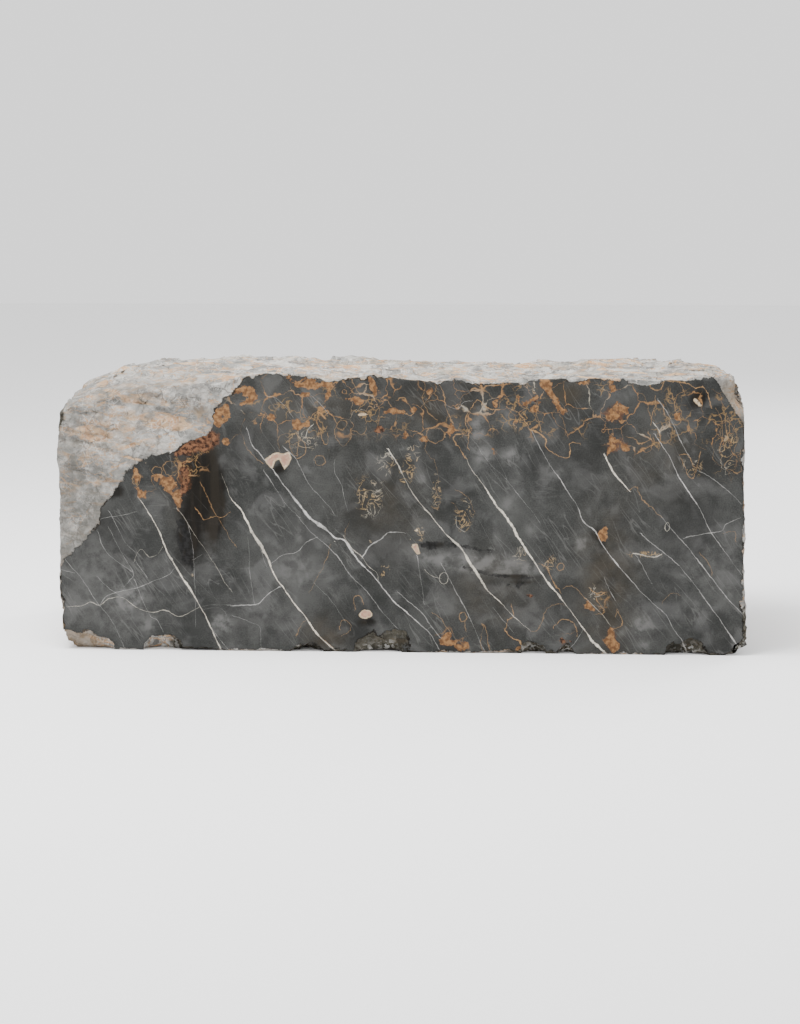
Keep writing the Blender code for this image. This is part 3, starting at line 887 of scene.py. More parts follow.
vein(OCHRE, 1.6, (-94, 38), (-90, 53), (-77, 44), (-79, 36), (-90, 27))
vein(OCHRE, 1.6, (-71, 71), (-70, 92), (-61, 94), (-56, 82))
print("with the middle's loops:", len(veins))

# %% Ochre lines, loops and rings of the right
vein(OCHRE, 2.5, (399, 441), (406, 431), (420, 433), (423, 444))
vein(OCHRE, 1.4, (383, 425), (391, 419), (399, 398), (408, 383))
vein(OCHRE, 1.8, (410, 419), (407, 396), (404, 377))
vein(OCHRE, 2.0, (437, 421), (443, 398), (449, 383))
vein(OCHRE, 2.5, (447, 443), (463, 441), (474, 434), (484, 438), (494, 423), (497, 404))
vein(OCHRE, 2.0, (447, 441), (455, 429), (446, 425), (441, 414))
vein(OCHRE, 1.8, (366, 355), (375, 354), (387, 344), (403, 352), (401, 361))
vein(OCHRE, 1.6, (391, 336), (406, 342), (408, 352))
vein(OCHRE, 2.0, (452, 327), (463, 327), (474, 306), (482, 321), (482, 330))
vein(OCHRE, 1.6, (453, 321), (457, 309), (471, 285), (477, 305))
vein(OCHRE, 1.4, (505, 400), (514, 379), (516, 352), (513, 332))
vein(OCHRE, 1.8, (520, 385), (522, 367), (528, 346))
vein(OCHRE, 1.4, (525, 388), (536, 367), (540, 354), (534, 325), (521, 311), (540, 296), (548, 301))
vein(OCHRE, 1.6, (505, 334), (503, 319), (515, 310))
vein(OCHRE, 1.4, (546, 335), (547, 305))
vein(OCHRE, 2.0, (310, 108), (321, 102), (333, 102), (321, 96))
vein(OCHRE, 2.0, (322, 92), (332, 71), (322, 67))
vein(OCHRE, 1.8, (352, 65), (354, 73), (363, 49), (352, 44))
vein(CREAM, 1.8, (380, 167), (399, 163), (414, 161), (422, 165))
ring(CREAM, 1.4, 432, 210, 4, 8)
vein(OCHRE, 1.6, (486, 167), (497, 156), (505, 134))
vein(OCHRE, 1.6, (524, 202), (540, 204), (542, 189))
print("all veins:", len(veins), "longest in millimetres:", round(max(
    np.linalg.norm(np.diff(curve, axis=0), axis=1).sum() for _, _, curve in veins)))

# %% [markdown]
# ## Patches
# Iron left ochre and brown patches with crisp outlines, and calcite left pale ones. Each
# is a short outline; the shader later roughens it with noise, so a few points are enough.

# %% Patches of the left and the middle
patch("ochre", (-388, 288), (-367, 286), (-355, 267), (-350, 251), (-355, 232), (-366, 259), (-390, 278),
     (-398, 286))
patch("ochre", (-295, 396), (-273, 402), (-270, 388), (-280, 375), (-291, 369), (-299, 377))
spot("ochre", -277, 343, 5, 5)
spot("cream", -408, 309, 2, 2)
patch("ochre", (-181, 450), (-174, 450), (-164, 433), (-156, 431), (-131, 430), (-125, 434), (-107, 434),
     (-100, 429), (-108, 441), (-131, 440), (-131, 452), (-154, 443), (-160, 438), (-172, 444))
patch("ochre", (-112, 431), (-110, 423), (-119, 404), (-114, 414))
spot("ochre", -148, 421, 7, 3)
patch("ochre", (-85, 415), (-61, 416), (-55, 412), (-60, 404), (-79, 412))
patch("ochre", (-50, 450), (-40, 444), (-29, 421), (-35, 421), (-48, 441))
patch("ochre", (-25, 391), (-15, 394), (10, 390), (10, 394), (-3, 397), (-15, 398))
patch("ochre", (-170, 381), (-156, 381), (-154, 369), (-143, 371), (-144, 377), (-160, 363), (-166, 365))
spot("ochre", -203, 383, 4.5, 4.5)
spot("cream", -56, 389, 8, 2.5)
patch("brown", (-40, 363), (-27, 372), (-21, 367), (-31, 356))
patch("brown", (-362, 322), (-346, 342), (-326, 350), (-306, 366), (-288, 352), (-296, 334), (-318, 330),
     (-340, 322))
patch("brown", (-352, 300), (-344, 310), (-336, 290), (-342, 266), (-352, 250), (-356, 262), (-348, 280))
patch("ochre", (-430, 300), (-424, 300), (-419, 286), (-424, 268), (-414, 258), (-407, 262), (-408, 252),
     (-420, 254))
patch("ochre", (-272, 420), (-250, 434), (-236, 432), (-226, 418), (-232, 408), (-252, 404), (-240, 416),
     (-250, 424))
patch("ochre", (10, 363), (15, 359), (13, 350), (9, 354))
spot("ochre", 24, 397, 4, 4)
spot("ochre", 43, 350, 5, 5)
spot("ochre", 50, 425, 4, 4)
patch("ochre", (77, 361), (85, 375), (89, 367), (83, 354))
patch("ochre", (153, 414), (164, 417), (158, 406), (155, 402))
patch("ochre", (151, 336), (155, 337), (160, 328), (156, 326))
patch("cream", (-216, 315), (-197, 327), (-185, 325), (-175, 328), (-172, 319), (-176, 307), (-183, 299),
     (-191, 316), (-199, 311), (-202, 299), (-212, 309))
patch("cream", (-66, 61), (-58, 70), (-46, 69), (-41, 62), (-48, 56), (-58, 56))
spot("cream", -335, 125, 2, 3)
spot("cream", -45, 183, 2.5, 2)
patch("cream", (19, 190), (23, 179), (31, 179), (36, 162), (31, 163), (22, 174))
spot("cream", 29, 202, 3, 3)
patch("brown", (213, 411), (220, 412), (221, 418), (214, 419))
patch("ochre", (191, 419), (195, 410), (203, 408), (213, 415), (222, 419), (210, 409), (204, 404),
     (196, 406))
patch("ochre", (203, 404), (215, 392), (224, 400), (226, 411), (219, 404), (212, 399))
print("patches so far:", len(patches))

# %% Patches of the right
patch("ochre", (228, 450), (238, 446), (245, 440), (243, 430), (251, 420), (255, 411), (269, 394),
     (264, 391), (251, 407), (240, 425), (232, 433), (229, 440))
patch("ochre", (69, 20), (75, 32), (85, 34), (81, 24), (99, 18), (106, 23), (116, 9), (104, 4), (89, 13),
     (73, 13))
spot("ochre", 198, 8, 4, 4)
patch("brown", (263, 26), (280, 20), (282, 15), (267, 18))
patch("ochre", (333, 388), (341, 401), (348, 411), (366, 402), (364, 394), (350, 388), (343, 379))
patch("ochre", (339, 356), (360, 346), (369, 336), (362, 332), (350, 342), (335, 327), (339, 340))
patch("ochre", (340, 445), (347, 439), (346, 431), (341, 428), (339, 435))
patch("ochre", (281, 437), (290, 441), (305, 440), (304, 445), (288, 446))
spot("ochre", 396, 448, 6, 2.5)
spot("ochre", 446, 388, 5, 5)
patch("ochre", (323, 198), (333, 210), (339, 200), (329, 185), (323, 191))
patch("ochre", (300, 86), (306, 88), (317, 71), (310, 76), (302, 80))
patch("ochre", (330, 24), (341, 22), (342, 44), (349, 40), (350, 28), (358, 13), (348, 3), (339, 16))
patch("cream", (469, 418), (475, 416), (484, 407), (480, 403), (471, 411))
spot("cream", 503, 36, 2, 2)
spot("brown", 213, 95, 3, 3)
patch("ochre", (541, 420), (546, 412), (545, 398), (538, 402), (536, 414))
spot("ochre", 530, 441, 9, 5)
patch("dark", (35, 182), (60, 184), (80, 182), (120, 176), (164, 167), (145, 167), (93, 175), (60, 171),
     (38, 172))
patch("dark", (100, 146), (143, 134), (186, 128), (226, 125), (186, 124), (143, 129), (104, 140))
patch("dark", (191, 121), (203, 118), (200, 109), (192, 111))
spot("dark", 180, 115, 4, 3)
patch("dark", (-359, 214), (-348, 216), (-338, 190), (-331, 160), (-333, 132), (-343, 130), (-350, 150),
     (-358, 180))
print("all patches:", len(patches))

# %% Soft clouds of colour
cloud("light", 0.6, (-434, 88, 20, 18), (-409, 42, 14, 12), (-289, 47, 16, 14), (128, 372, 12, 20),
     (174, 382, 12, 14))
cloud("light", 0.7, (133, 327, 14, 14), (180, 320, 12, 12), (177, 243, 14, 15), (38, 281, 10, 14),
     (52, 318, 9, 10))
cloud("light", 0.7, (296, 182, 10, 16), (393, 54, 14, 15), (486, 66, 12, 11), (397, 19, 14, 8),
     (360, 37, 10, 9))
cloud("light", 0.6, (215, 205, 10, 12), (-160, 196, 6, 20), (77, 155, 40, 9), (135, 148, 45, 9),
     (184, 136, 30, 8))
cloud("light", 0.35, (-450, 60, 90, 60), (-480, 150, 60, 50), (-230, 60, 60, 50), (500, 150, 70, 60))
cloud("warm", 0.8, (335, 110, 42, 110), (-120, 26, 30, 28), (265, 424, 32, 26), (-330, 280, 34, 80))
cloud("warm", 0.4, (150, 100, 60, 60), (-20, 240, 60, 60), (420, 330, 60, 60), (60, 400, 80, 40),
     (-140, 390, 80, 50))
cloud("dark", 1.0, (-346, 172, 20, 50), (-328, 262, 40, 90), (475, 418, 21, 22), (-500, 210, 36, 24))
cloud("dark", 0.5, (-50, 63, 22, 14), (58, 177, 26, 8), (290, 330, 40, 60), (0, 150, 40, 40),
     (450, 240, 40, 40))
cloud("lace", 0.9, (-235, 400, 60, 45), (-130, 405, 80, 60), (0, 400, 90, 60), (120, 400, 80, 55),
     (235, 405, 80, 50))
cloud("lace", 0.9, (350, 395, 90, 60), (470, 400, 80, 50), (520, 340, 36, 60), (-335, 300, 40, 50),
     (-410, 275, 24, 30))
cloud("lace", 0.7, (90, 26, 50, 26), (275, 45, 26, 26), (330, 90, 24, 30), (345, 30, 16, 30),
     (385, 350, 40, 26))
cloud("curl", 1.0, (-47, 255, 24, 36), (-18, 310, 14, 20), (24, 325, 12, 28), (197, 164, 12, 13),
     (-22, 136, 8, 12))
cloud("curl", 0.9, (105, 225, 16, 28), (35, 195, 8, 14), (62, 265, 8, 36), (243, 150, 12, 10),
     (320, 95, 14, 20))
cloud("curl", 0.8, (395, 165, 32, 6), (-150, 350, 30, 24), (525, 330, 20, 40), (470, 310, 18, 22),
     (12, 285, 12, 20))
cloud("rust", 1.0, (-330, 336, 34, 15), (-345, 285, 16, 36), (-300, 352, 18, 16), (345, 392, 26, 20),
     (350, 342, 22, 14))
cloud("rust", 0.8, (543, 408, 9, 26), (328, 200, 12, 14), (-30, 364, 14, 10), (268, 20, 14, 10),
     (345, 25, 14, 24))
cloud("smoke", 1.0, (-318, 272, 30, 74), (-340, 178, 16, 44), (-296, 240, 16, 60), (478, 417, 14, 16),
     (-465, 262, 24, 14))
cloud("smoke", 0.38, (335, 110, 34, 95), (322, 200, 20, 30))
cloud("smoke", 0.7, (-50, 50, 16, 8), (55, 178, 26, 6), (205, 118, 26, 6), (190, 128, 40, 4),
     (-190, 300, 14, 10))
cloud("light", 1.0, (120, 150, 60, 14), (178, 142, 62, 11))
cloud("light", 0.8, (128, 360, 12, 26), (140, 322, 16, 12), (180, 322, 14, 14), (296, 182, 9, 16),
     (250, 305, 20, 20))
cloud("light", 0.7, (-440, 90, 26, 20), (-290, 46, 18, 14), (-165, 140, 30, 30), (393, 54, 14, 15),
     (30, 165, 30, 14))
cloud("peach", 0.8, (-494, 417, 12, 4), (-459, 420, 14, 4), (-447, 425, 7, 5), (-464, 446, 14, 4),
     (-426, 440, 15, 4))
cloud("peach", 0.8, (-378, 431, 9, 3), (-338, 447, 14, 7), (-535, 402, 8, 5), (-523, 358, 17, 6),
     (-500, 321, 9, 8))
cloud("peach", 0.7, (-440, 392, 36, 7), (-420, 348, 22, 6), (-320, 390, 14, 12), (-470, 372, 40, 10))
# Shade clouds on the big flake scar are painted shade, darker at its left, low and upper parts than at its
# middle.
cloud("shade", 0.5, (-468, 337, 10, 8), (-520, 312, 12, 14), (-313, 390, 8, 8), (-440, 428, 16, 8),
     (-537, 407, 10, 14))
# Olive clouds darken the chips along the base: dark olive stone, partly painted shade under the edge, and
# painted shade in the hollow chip.
cloud("olive", 1.0, (-38, 20, 50, 36), (-147, 8, 28, 20), (10, 30, 24, 20), (466, 12, 50, 30),
     (560, 12, 30, 40), (-558, 392, 12, 18))
cloud("olive", 0.8, (218, 12, 28, 28), (270, 10, 26, 26), (-330, 10, 30, 14))
# More painted shade, broad and soft, over the big flake scar.
cloud("shade", 0.5, (-545, 230, 60, 170), (-400, 425, 190, 55), (-480, 190, 90, 90))
cloud("shade", 0.3, (-450, 330, 230, 170))
# This strong pair is the dark grey stone of the broken upper right corner.
cloud("shade", 0.9, (512, 442, 22, 22), (550, 380, 12, 20))
cloud("peach", 1.0, (543, 408, 9, 22))
# Painted shade again, on the left and low parts of the big flake scar.
cloud("shade", 0.3, (-500, 240, 50, 50), (-450, 300, 40, 24), (-330, 352, 30, 14), (-540, 180, 24, 40))
cloud("skin", 1.0, (-520, 14, 40, 26), (-560, 40, 20, 50), (540, 430, 20, 20))
cloud("frost", 1.0, (-384, 14, 26, 12), (-470, 26, 16, 8), (470, 9, 14, 6), (218, 8, 14, 7),
     (272, 8, 10, 6))
cloud("frost", 0.8, (-16, 13, 9, 6), (-43, 8, 12, 5), (556, 14, 10, 12), (-147, 6, 18, 8))
print("clouds:", len(clouds))

# %% [markdown]
# ## Reading the markings onto the surface
# The mesh is too coarse to paint a one-millimetre vein on its points. A distance is
# different: it changes evenly, so it stays right between two points. Each point therefore
# stores how far it is from a vein, with a sign for its side, and the shader draws the
# vein where that distance is small. Crossing veins would spoil each other's distance, so
# they are dealt to families in which no two come near one another.

# %% Distances to the veins
CARRY_SIDEWAYS = 0.15
CARRY_DOWN = -0.25
CARRY_WARP = 0.012
CARRY_WARP_SIZE = [0.12] * 3
CARRY_WARP_DEPTH = 0.05
FAMILY_GAP = 14.0
FIELD_REACH = 30.0
FIELD_NONE = 60.0


def place_on_face(points):
    """Where the vein sheet through each point meets the sawn face, in millimetres. The
    sheets lean, so they shift sideways and down with depth, and wander a little."""
    depth = points[:, 1] - FRONT
    wander = CARRY_WARP * np.clip(depth / CARRY_WARP_DEPTH, 0, 1)
    x = points[:, 0] + CARRY_SIDEWAYS * depth + wander * lumps(points, CARRY_WARP_SIZE, 400)
    z = points[:, 2] - CARRY_DOWN * depth + wander * lumps(points, CARRY_WARP_SIZE, 401)
    return np.stack([x, z], -1) / MM


def near_box(place, outline, reach):
    """Numbers of the points within reach of an outline's box."""
    low, high = outline.min(0) - reach, outline.max(0) + reach
    return np.nonzero(((place > low) & (place < high)).all(axis=1))[0]


def line_distance(place, curve):
    """Least distance to a curve's pieces, its sign for the side, and the share along."""
    least = np.full(len(place), np.inf)
    sign = np.ones(len(place))
    along = np.zeros(len(place))
    lengths = np.concatenate([[0], np.cumsum(np.linalg.norm(np.diff(curve, axis=0), axis=1))])
    for index, (start, end) in enumerate(zip(curve[:-1], curve[1:])):
        run = end - start
        away = place - start
        share = np.clip(away @ run / (run @ run), 0, 1)
        squared = ((away - share[:, None] * run) ** 2).sum(axis=1)
        side = np.sign(run[0] * away[:, 1] - run[1] * away[:, 0])
        closer = squared < least
        least = np.where(closer, squared, least)
        sign = np.where(closer, side, sign)
        along = np.where(closer, blend(lengths[index], lengths[index + 1], share), along)
    return np.sqrt(least), sign, along / lengths[-1]


def curve_gap(one, other):
    """Least distance between the points of two curves, or far where their boxes are apart."""
    apart = np.maximum(one.min(0) - other.max(0), other.min(0) - one.max(0))
    if (apart > FAMILY_GAP).any():
        return np.inf
    return np.linalg.norm(one[:, None] - other[None], axis=2).min()


def deal_to_families(lines):
    """Puts each vein in the first family where it comes near no other vein."""
    families = []
    for line in lines:
        for family in families:
            if all(curve_gap(line[2], other[2]) > FAMILY_GAP for other in family):
                family.append(line)
                break
        else:
            families.append([line])
    return families


def family_field(place, family):
    """Four numbers a point: signed distance, plain distance, half width and tint."""
    field = np.tile([FIELD_NONE, FIELD_NONE, 0.0, 0.0], (len(place), 1))
    for tint, half_widths, curve in family:
        near = near_box(place, curve, FIELD_REACH)
        distance, sign, along = line_distance(place[near], curve)
        half = np.interp(along, np.linspace(0, 1, len(half_widths)), half_widths)
        here = np.stack([distance * sign, distance, half, np.full(len(near), tint)], -1)
        closer = distance < field[near, 1]
        field[near[closer]] = here[closer]
    return field


place = place_on_face(points)
vein_families = deal_to_families(veins)
vein_fields = [family_field(place, family) for family in vein_families]
print("families of veins:", [len(family) for family in vein_families])

# %% Distances to the patches, and the soft clouds
PATCH_KINDS = ("ochre", "brown", "cream", "dark")
GROUND_KINDS = ("light", "warm", "dark", "lace")
BREAK_KINDS = ("peach", "shade", "skin", "frost")
DETAIL_KINDS = ("curl", "rust", "smoke", "olive")


def inside_outline(place, outline):
    """True where a line to the right crosses the outline an odd number of times."""
    inside = np.zeros(len(place), bool)
    for (x0, z0), (x1, z1) in zip(outline, np.roll(outline, -1, axis=0)):
        if z0 != z1:
            spans = (z0 > place[:, 1]) != (z1 > place[:, 1])
            inside ^= spans & (place[:, 0] < x0 + (place[:, 1] - z0) * (x1 - x0) / (z1 - z0))
    return inside


def patch_field(place):
    """Signed distance to the patches of each kind, negative inside them."""
    field = np.full((len(place), len(PATCH_KINDS)), FIELD_NONE)
    for kind, outline in patches:
        near = near_box(place, outline, FIELD_REACH)
        distance, _, _ = line_distance(place[near], np.concatenate([outline, outline[:1]]))
        distance = np.where(inside_outline(place[near], outline), -distance, distance)
        channel = PATCH_KINDS.index(kind)
        field[near, channel] = np.minimum(field[near, channel], distance)
    return field


def cloud_field(place, kinds):
    """Sum of the soft ovals of each kind: amount times e to the minus squared radius."""
    field = np.zeros((len(place), len(kinds)))
    for kind, amount, (x, z, across, up) in clouds:
        if kind in kinds:
            radius = ((place - (x, z)) / (across, up)) ** 2
            field[:, kinds.index(kind)] += amount * np.exp(-radius.sum(axis=1))
    return np.minimum(field, 1)


def store(mesh, name, values):
    """Stores one number, or four, on each point of the mesh."""
    kind = "FLOAT" if values.ndim == 1 else "FLOAT_COLOR"
    attribute = mesh.attributes.new(name, kind, "POINT")
    part = "value" if values.ndim == 1 else "color"
    attribute.data.foreach_set(part, values.astype(np.float32).ravel())


for index, field in enumerate(vein_fields):
    store(stone_mesh, f"veins_{index}", field)
store(stone_mesh, "patches", patch_field(place))
store(stone_mesh, "ground", cloud_field(place, GROUND_KINDS))
store(stone_mesh, "breaks", cloud_field(place, BREAK_KINDS))
store(stone_mesh, "details", cloud_field(place, DETAIL_KINDS))
store(stone_mesh, "margin", broken_margin / MM)
print("stored:", [a.name for a in stone_mesh.attributes if a.name[0] not in ".ps"])

# %% [markdown]
# ## One stone, two finishes
# The block has one material. On its sawn skin the stone is dark grey, because a smooth
# surface lets light in to the dark grains; where it is broken, the bruised crystals
# scatter light and look pale. So one set of markings feeds two finishes, and the margin
# stored above says which of them each spot has.

# %% Shader helpers
material = bpy.data.materials.new("veined_marble")
material.use_nodes = True
tree = material.node_tree
tree.nodes.clear()


def feed(socket, value):
    """Links a socket to an input, or sets the input's own value."""
    if isinstance(value, bpy.types.NodeSocket):
        socket.id_data.links.new(value, socket)
    elif value is not None:
        socket.default_value = value


def add_node(kind, inputs=(), into=None, **settings):
    """A new node with its settings and the inputs named in a dictionary."""
    new = (into or tree).nodes.new(kind)
    for name, value in settings.items():
        setattr(new, name, value)
    for name, value in dict(inputs).items():
        feed(new.inputs[name], value)
    return new


def calc(operation, *values, into=None):
    """One arithmetic step."""
    return add_node("ShaderNodeMath", enumerate(values), into, operation=operation).outputs[0]


def fade(value, low, high, start=0.0, end=1.0, into=None):
    """Smooth change from start to end while the value goes from low to high."""
    inputs = {"Value": value, "From Min": low, "From Max": high, "To Min": start, "To Max": end}
    return add_node("ShaderNodeMapRange", inputs, into, interpolation_type="SMOOTHSTEP").outputs[0]


def over(share, under, upper, into=None):
    """Lays the upper colour on the under one, by its share."""
    new = add_node("ShaderNodeMix", into=into, data_type="RGBA")
    for index, value in ((0, share), (6, under), (7, upper)):
        feed(new.inputs[index], value)
    return new.outputs[2]


def noise(scale, detail=3.0, place=None, roughness=0.55, twist=0.0):
    """Cloudy noise with a mean of a half; the scale is in lumps a metre."""
    inputs = {"Vector": place or where, "Scale": scale, "Detail": detail, "Roughness": roughness}
    inputs["Distortion"] = twist
    return add_node("ShaderNodeTexNoise", inputs).outputs["Fac"]


def stretched(angles, scale, shift=(0.0, 0.0, 0.0)):
    """The stone's coordinates, turned and then squeezed."""
    turn = {"Vector": where, "Rotation": angles}
    turned = add_node("ShaderNodeVectorRotate", turn, rotation_type="EULER_XYZ")
    inputs = {"Vector": turned.outputs[0], "Scale": scale, "Location": shift}
    return add_node("ShaderNodeMapping", inputs).outputs[0]


def read(name):
    """The parts of a stored attribute: three from its colour and one from its alpha."""
    attribute = add_node("ShaderNodeAttribute", attribute_name=name)
    split = add_node("ShaderNodeSeparateColor", {"Color": attribute.outputs["Color"]})
    return [*split.outputs, attribute.outputs["Alpha"]]


def grey(value, warmth=0.0):
    """A grey that leans towards cream by its warmth."""
    return (value, value * (1 - 0.5 * warmth), value * (1 - 1.5 * warmth), 1.0)


def product(*values):
    """All values multiplied together."""
    result = values[0]
    for value in values[1:]:
        result = calc("MULTIPLY", result, value)
    return result


def total(*values):
    """All values added together."""
    result = values[0]
    for value in values[1:]:
        result = calc("ADD", result, value)
    return result


def sway(scale, detail, amount, **more):
    """Noise moved to a mean of nothing, times an amount."""
    return product(calc("SUBTRACT", noise(scale, detail, **more), 0.5), amount)


def clumps(scale, detail, low, high, start=0.0, end=1.0, **more):
    """Noise turned into clumps: it changes from start to end between two of its levels."""
    return fade(noise(scale, detail, **more), low, high, start, end)


where = add_node("ShaderNodeTexCoord").outputs["Object"]
print("shader helpers ready")

# %% [markdown]
# ## The veins in the shader
# One node group draws a family of veins. It moves the line a little with noise, so that it
# looks like a healed crack and not a pen stroke, and thins and thickens it. The plain
# distance shuts off the false line that the signed distance has half way between two
# veins.

# %% Vein group
VEIN_COLOURS = (
    (WHITE, grey(0.42, 0.04)),
    (CREAM, grey(0.56, 0.14)),
    (OCHRE, (0.28, 0.165, 0.075, 1.0)),
    (BROWN, (0.13, 0.06, 0.025, 1.0)),
)
TINT_MARGIN = 0.16
CORE_SHARE = 0.5
RIM_SHARE, RIM_LEAST = 1.05, 0.06
GATE_NEAR, GATE_FAR = 2.2, 3.8

# Ochre lines wander more than white ones, and thin lines show less than wide ones.
FREEDOM = (0.4, 0.6, 1.0, 2.6)
SOLIDITY = (0.35, 1.4, 0.3, 1.0)


def make_vein_group():
    """The mask is one inside the half width, no matter which side, and fades at its rim."""
    group = bpy.data.node_groups.new("vein_sheets", "ShaderNodeTree")
    for name in ("signed", "plain", "half", "tint", "wobble", "swell"):
        group.interface.new_socket(name, in_out="INPUT", socket_type="NodeSocketFloat")
    group.interface.new_socket("colour", in_out="OUTPUT", socket_type="NodeSocketColor")
    group.interface.new_socket("mask", in_out="OUTPUT", socket_type="NodeSocketFloat")
    given = group.nodes.new("NodeGroupInput").outputs
    result = group.nodes.new("NodeGroupOutput")
    freedom = fade(given["tint"], *FREEDOM, into=group)
    looser = calc("MULTIPLY", given["wobble"], freedom, into=group)
    away = calc("ABSOLUTE", calc("ADD", given["signed"], looser, into=group), into=group)
    half = calc("MULTIPLY", given["half"], given["swell"], into=group)
    core = calc("MULTIPLY", half, CORE_SHARE, into=group)
    rim = calc("MULTIPLY_ADD", half, RIM_SHARE, RIM_LEAST, into=group)
    line = fade(away, core, rim, 1.0, 0.0, into=group)
    gate_start = calc("ADD", given["half"], GATE_NEAR, into=group)
    gate_end = calc("ADD", given["half"], GATE_FAR, into=group)
    gate = fade(given["plain"], gate_start, gate_end, 1.0, 0.0, into=group)
    ramp = add_node("ShaderNodeValToRGB", {"Fac": given["tint"]}, group)
    ramp.color_ramp.interpolation = "CONSTANT"
    stops = ramp.color_ramp.elements
    for _ in VEIN_COLOURS[2:]:
        stops.new(1.0)
    for stop, (tint, colour) in zip(stops, VEIN_COLOURS):
        stop.position = max(tint - TINT_MARGIN, 0)
        stop.color = colour
    group.links.new(ramp.outputs["Color"], result.inputs["colour"])
    solid = fade(given["half"], *SOLIDITY, into=group)
    shown = calc("MULTIPLY", calc("MULTIPLY", line, gate, into=group), solid, into=group)
    group.links.new(shown, result.inputs["mask"])
    return group


vein_group = make_vein_group()
print("vein group has", len(vein_group.nodes), "nodes")

# %% Ground colour of the sawn face
DARK_GREY = (0.0195, 0.0201, 0.0192, 1.0)
MID_GREY = (0.0465, 0.0470, 0.0448, 1.0)
BLOTCH_GREY = grey(0.095, 0.02)
HOLLOW_GREY = grey(0.014, 0.02)
CLOUD_GREY = grey(0.125, 0.03)
WARM_BROWN = (0.042, 0.033, 0.022, 1.0)
BLACK_STONE = grey(0.011, 0.05)
SOOT_DARK = (0.0050, 0.0042, 0.0032, 1.0)
SOOT_BROWN = (0.0125, 0.0100, 0.0070, 1.0)
RUST = (0.105, 0.043, 0.018, 1.0)
DRIP_SQUEEZE = (70, 8, 7)

light_share, warm_share, dark_share, lace_share = read("ground")
curl_share, rust_share, smoke_share, olive_share = read("details")
speckle = noise(420, 3, roughness=0.7)
grain = product(calc("SUBTRACT", speckle, 0.5), 0.5)
tone = total(product(noise(9, 5), 0.62), product(noise(40, 3), 0.38), grain)
sawn = over(fade(tone, 0.34, 0.66), DARK_GREY, MID_GREY)
sawn = over(clumps(21, 3, 0.50, 0.66, 0.0, 0.36, roughness=0.5, twist=0.5), sawn, BLOTCH_GREY)
sawn = over(clumps(12, 2, 0.34, 0.48, 0.28, 0.0, roughness=0.5), sawn, HOLLOW_GREY)
sawn = over(product(light_share, clumps(50, 5, 0.38, 0.62, 0.15, 0.75, roughness=0.6)), sawn, CLOUD_GREY)
sawn = over(product(warm_share, clumps(30, 4, 0.35, 0.65, 0.25, 0.8)), sawn, WARM_BROWN)
sawn = over(product(dark_share, clumps(38, 4, 0.3, 0.6, 0.3, 0.85)), sawn, BLACK_STONE)
sooty = fade(total(smoke_share, sway(44, 4, 1.0)), 0.2, 0.75, 0.0, 0.85)
drips = clumps(1.0, 3, 0.42, 0.6, place=stretched((0.0, 0.0, 0.0), DRIP_SQUEEZE))
sawn = over(sooty, sawn, over(drips, SOOT_DARK, SOOT_BROWN))
rusty = fade(total(rust_share, sway(95, 4, 1.6, roughness=0.7)), 0.55, 0.95, 0.0, 0.6)
sawn = over(rusty, sawn, RUST)
print("ground colour: mottling, warm, dark and light clouds")

# %% [markdown]
# ## Fine markings by noise
# Between the long veins the stone is full of hairlines and little loops that nobody would
# place one by one. A contour line of cloudy noise is a thin closed curve, so it makes both:
# noise stretched along the veins' lean gives long hairlines, and round noise gives loops.
# The ochre net near the crest is different: it runs along the borders between cells, as
# cement does between fragments, so it comes from a pattern of cells.

# %% Hairlines
HAIR_LEAN = math.radians(-52)
HAIR_GREY = grey(0.15, 0.04)
STEEP_HAIR_GREY = grey(0.13, 0.04)


def contour(value, level, width):
    """A thin line where the noise passes a level."""
    return fade(calc("ABSOLUTE", calc("SUBTRACT", value, level)), 0.0, width, 1.0, 0.0)


def hairlines(lean, squeeze, level, width, shift):
    """A contour of noise that is drawn out along the veins' lean."""
    across = stretched((0.0, lean, 0.0), squeeze, shift)
    return contour(noise(1.0, 2.5, across, 0.5, 0.25), level, width)


hair = calc("MAXIMUM", hairlines(HAIR_LEAN, (5, 10, 40), 0.5, 0.013, (0, 0, 0)),
            hairlines(HAIR_LEAN - 0.12, (4, 10, 30), 0.46, 0.008, (3, 1, 7)))
sawn = over(product(hair, clumps(14, 3, 0.42, 0.66), 0.26), sawn, HAIR_GREY)
steep_hair = hairlines(HAIR_LEAN + 0.9, (9, 10, 50), 0.5, 0.016, (1, 5, 2))
sawn = over(product(steep_hair, clumps(11, 2, 0.5, 0.7, 0.0, 0.16)), sawn, STEEP_HAIR_GREY)
print("three sets of hairlines drawn")

# %% Ochre net and curls
NET_OCHRE = (0.205, 0.112, 0.050, 1.0)
NET_CREAM = grey(0.24, 0.18)
FINE_NET_OCHRE = (0.20, 0.125, 0.055, 1.0)
CURL_OCHRE = (0.21, 0.145, 0.075, 1.0)
CURL_CREAM = grey(0.20, 0.16)


def warped(scale, amount):
    """The stone's coordinates, shaken by cloudy noise."""
    colour = add_node("ShaderNodeTexNoise", {"Vector": where, "Scale": scale, "Detail": 3.0}).outputs["Color"]
    middle = {0: colour, 1: (0.5, 0.5, 0.5)}
    shake = add_node("ShaderNodeVectorMath", middle, operation="SUBTRACT").outputs[0]
    inputs = {0: shake, 1: (amount, amount, amount), 2: where}
    return add_node("ShaderNodeVectorMath", inputs, operation="MULTIPLY_ADD").outputs[0]


def network(scale, width, shake_scale, shake):
    """A net of lines along the borders between cells, shaken so that none is straight."""
    inputs = {"Vector": warped(shake_scale, shake), "Scale": scale}
    cells = add_node("ShaderNodeTexVoronoi", inputs, feature="DISTANCE_TO_EDGE")
    return fade(cells.outputs["Distance"], 0.0, width, 1.0, 0.0)


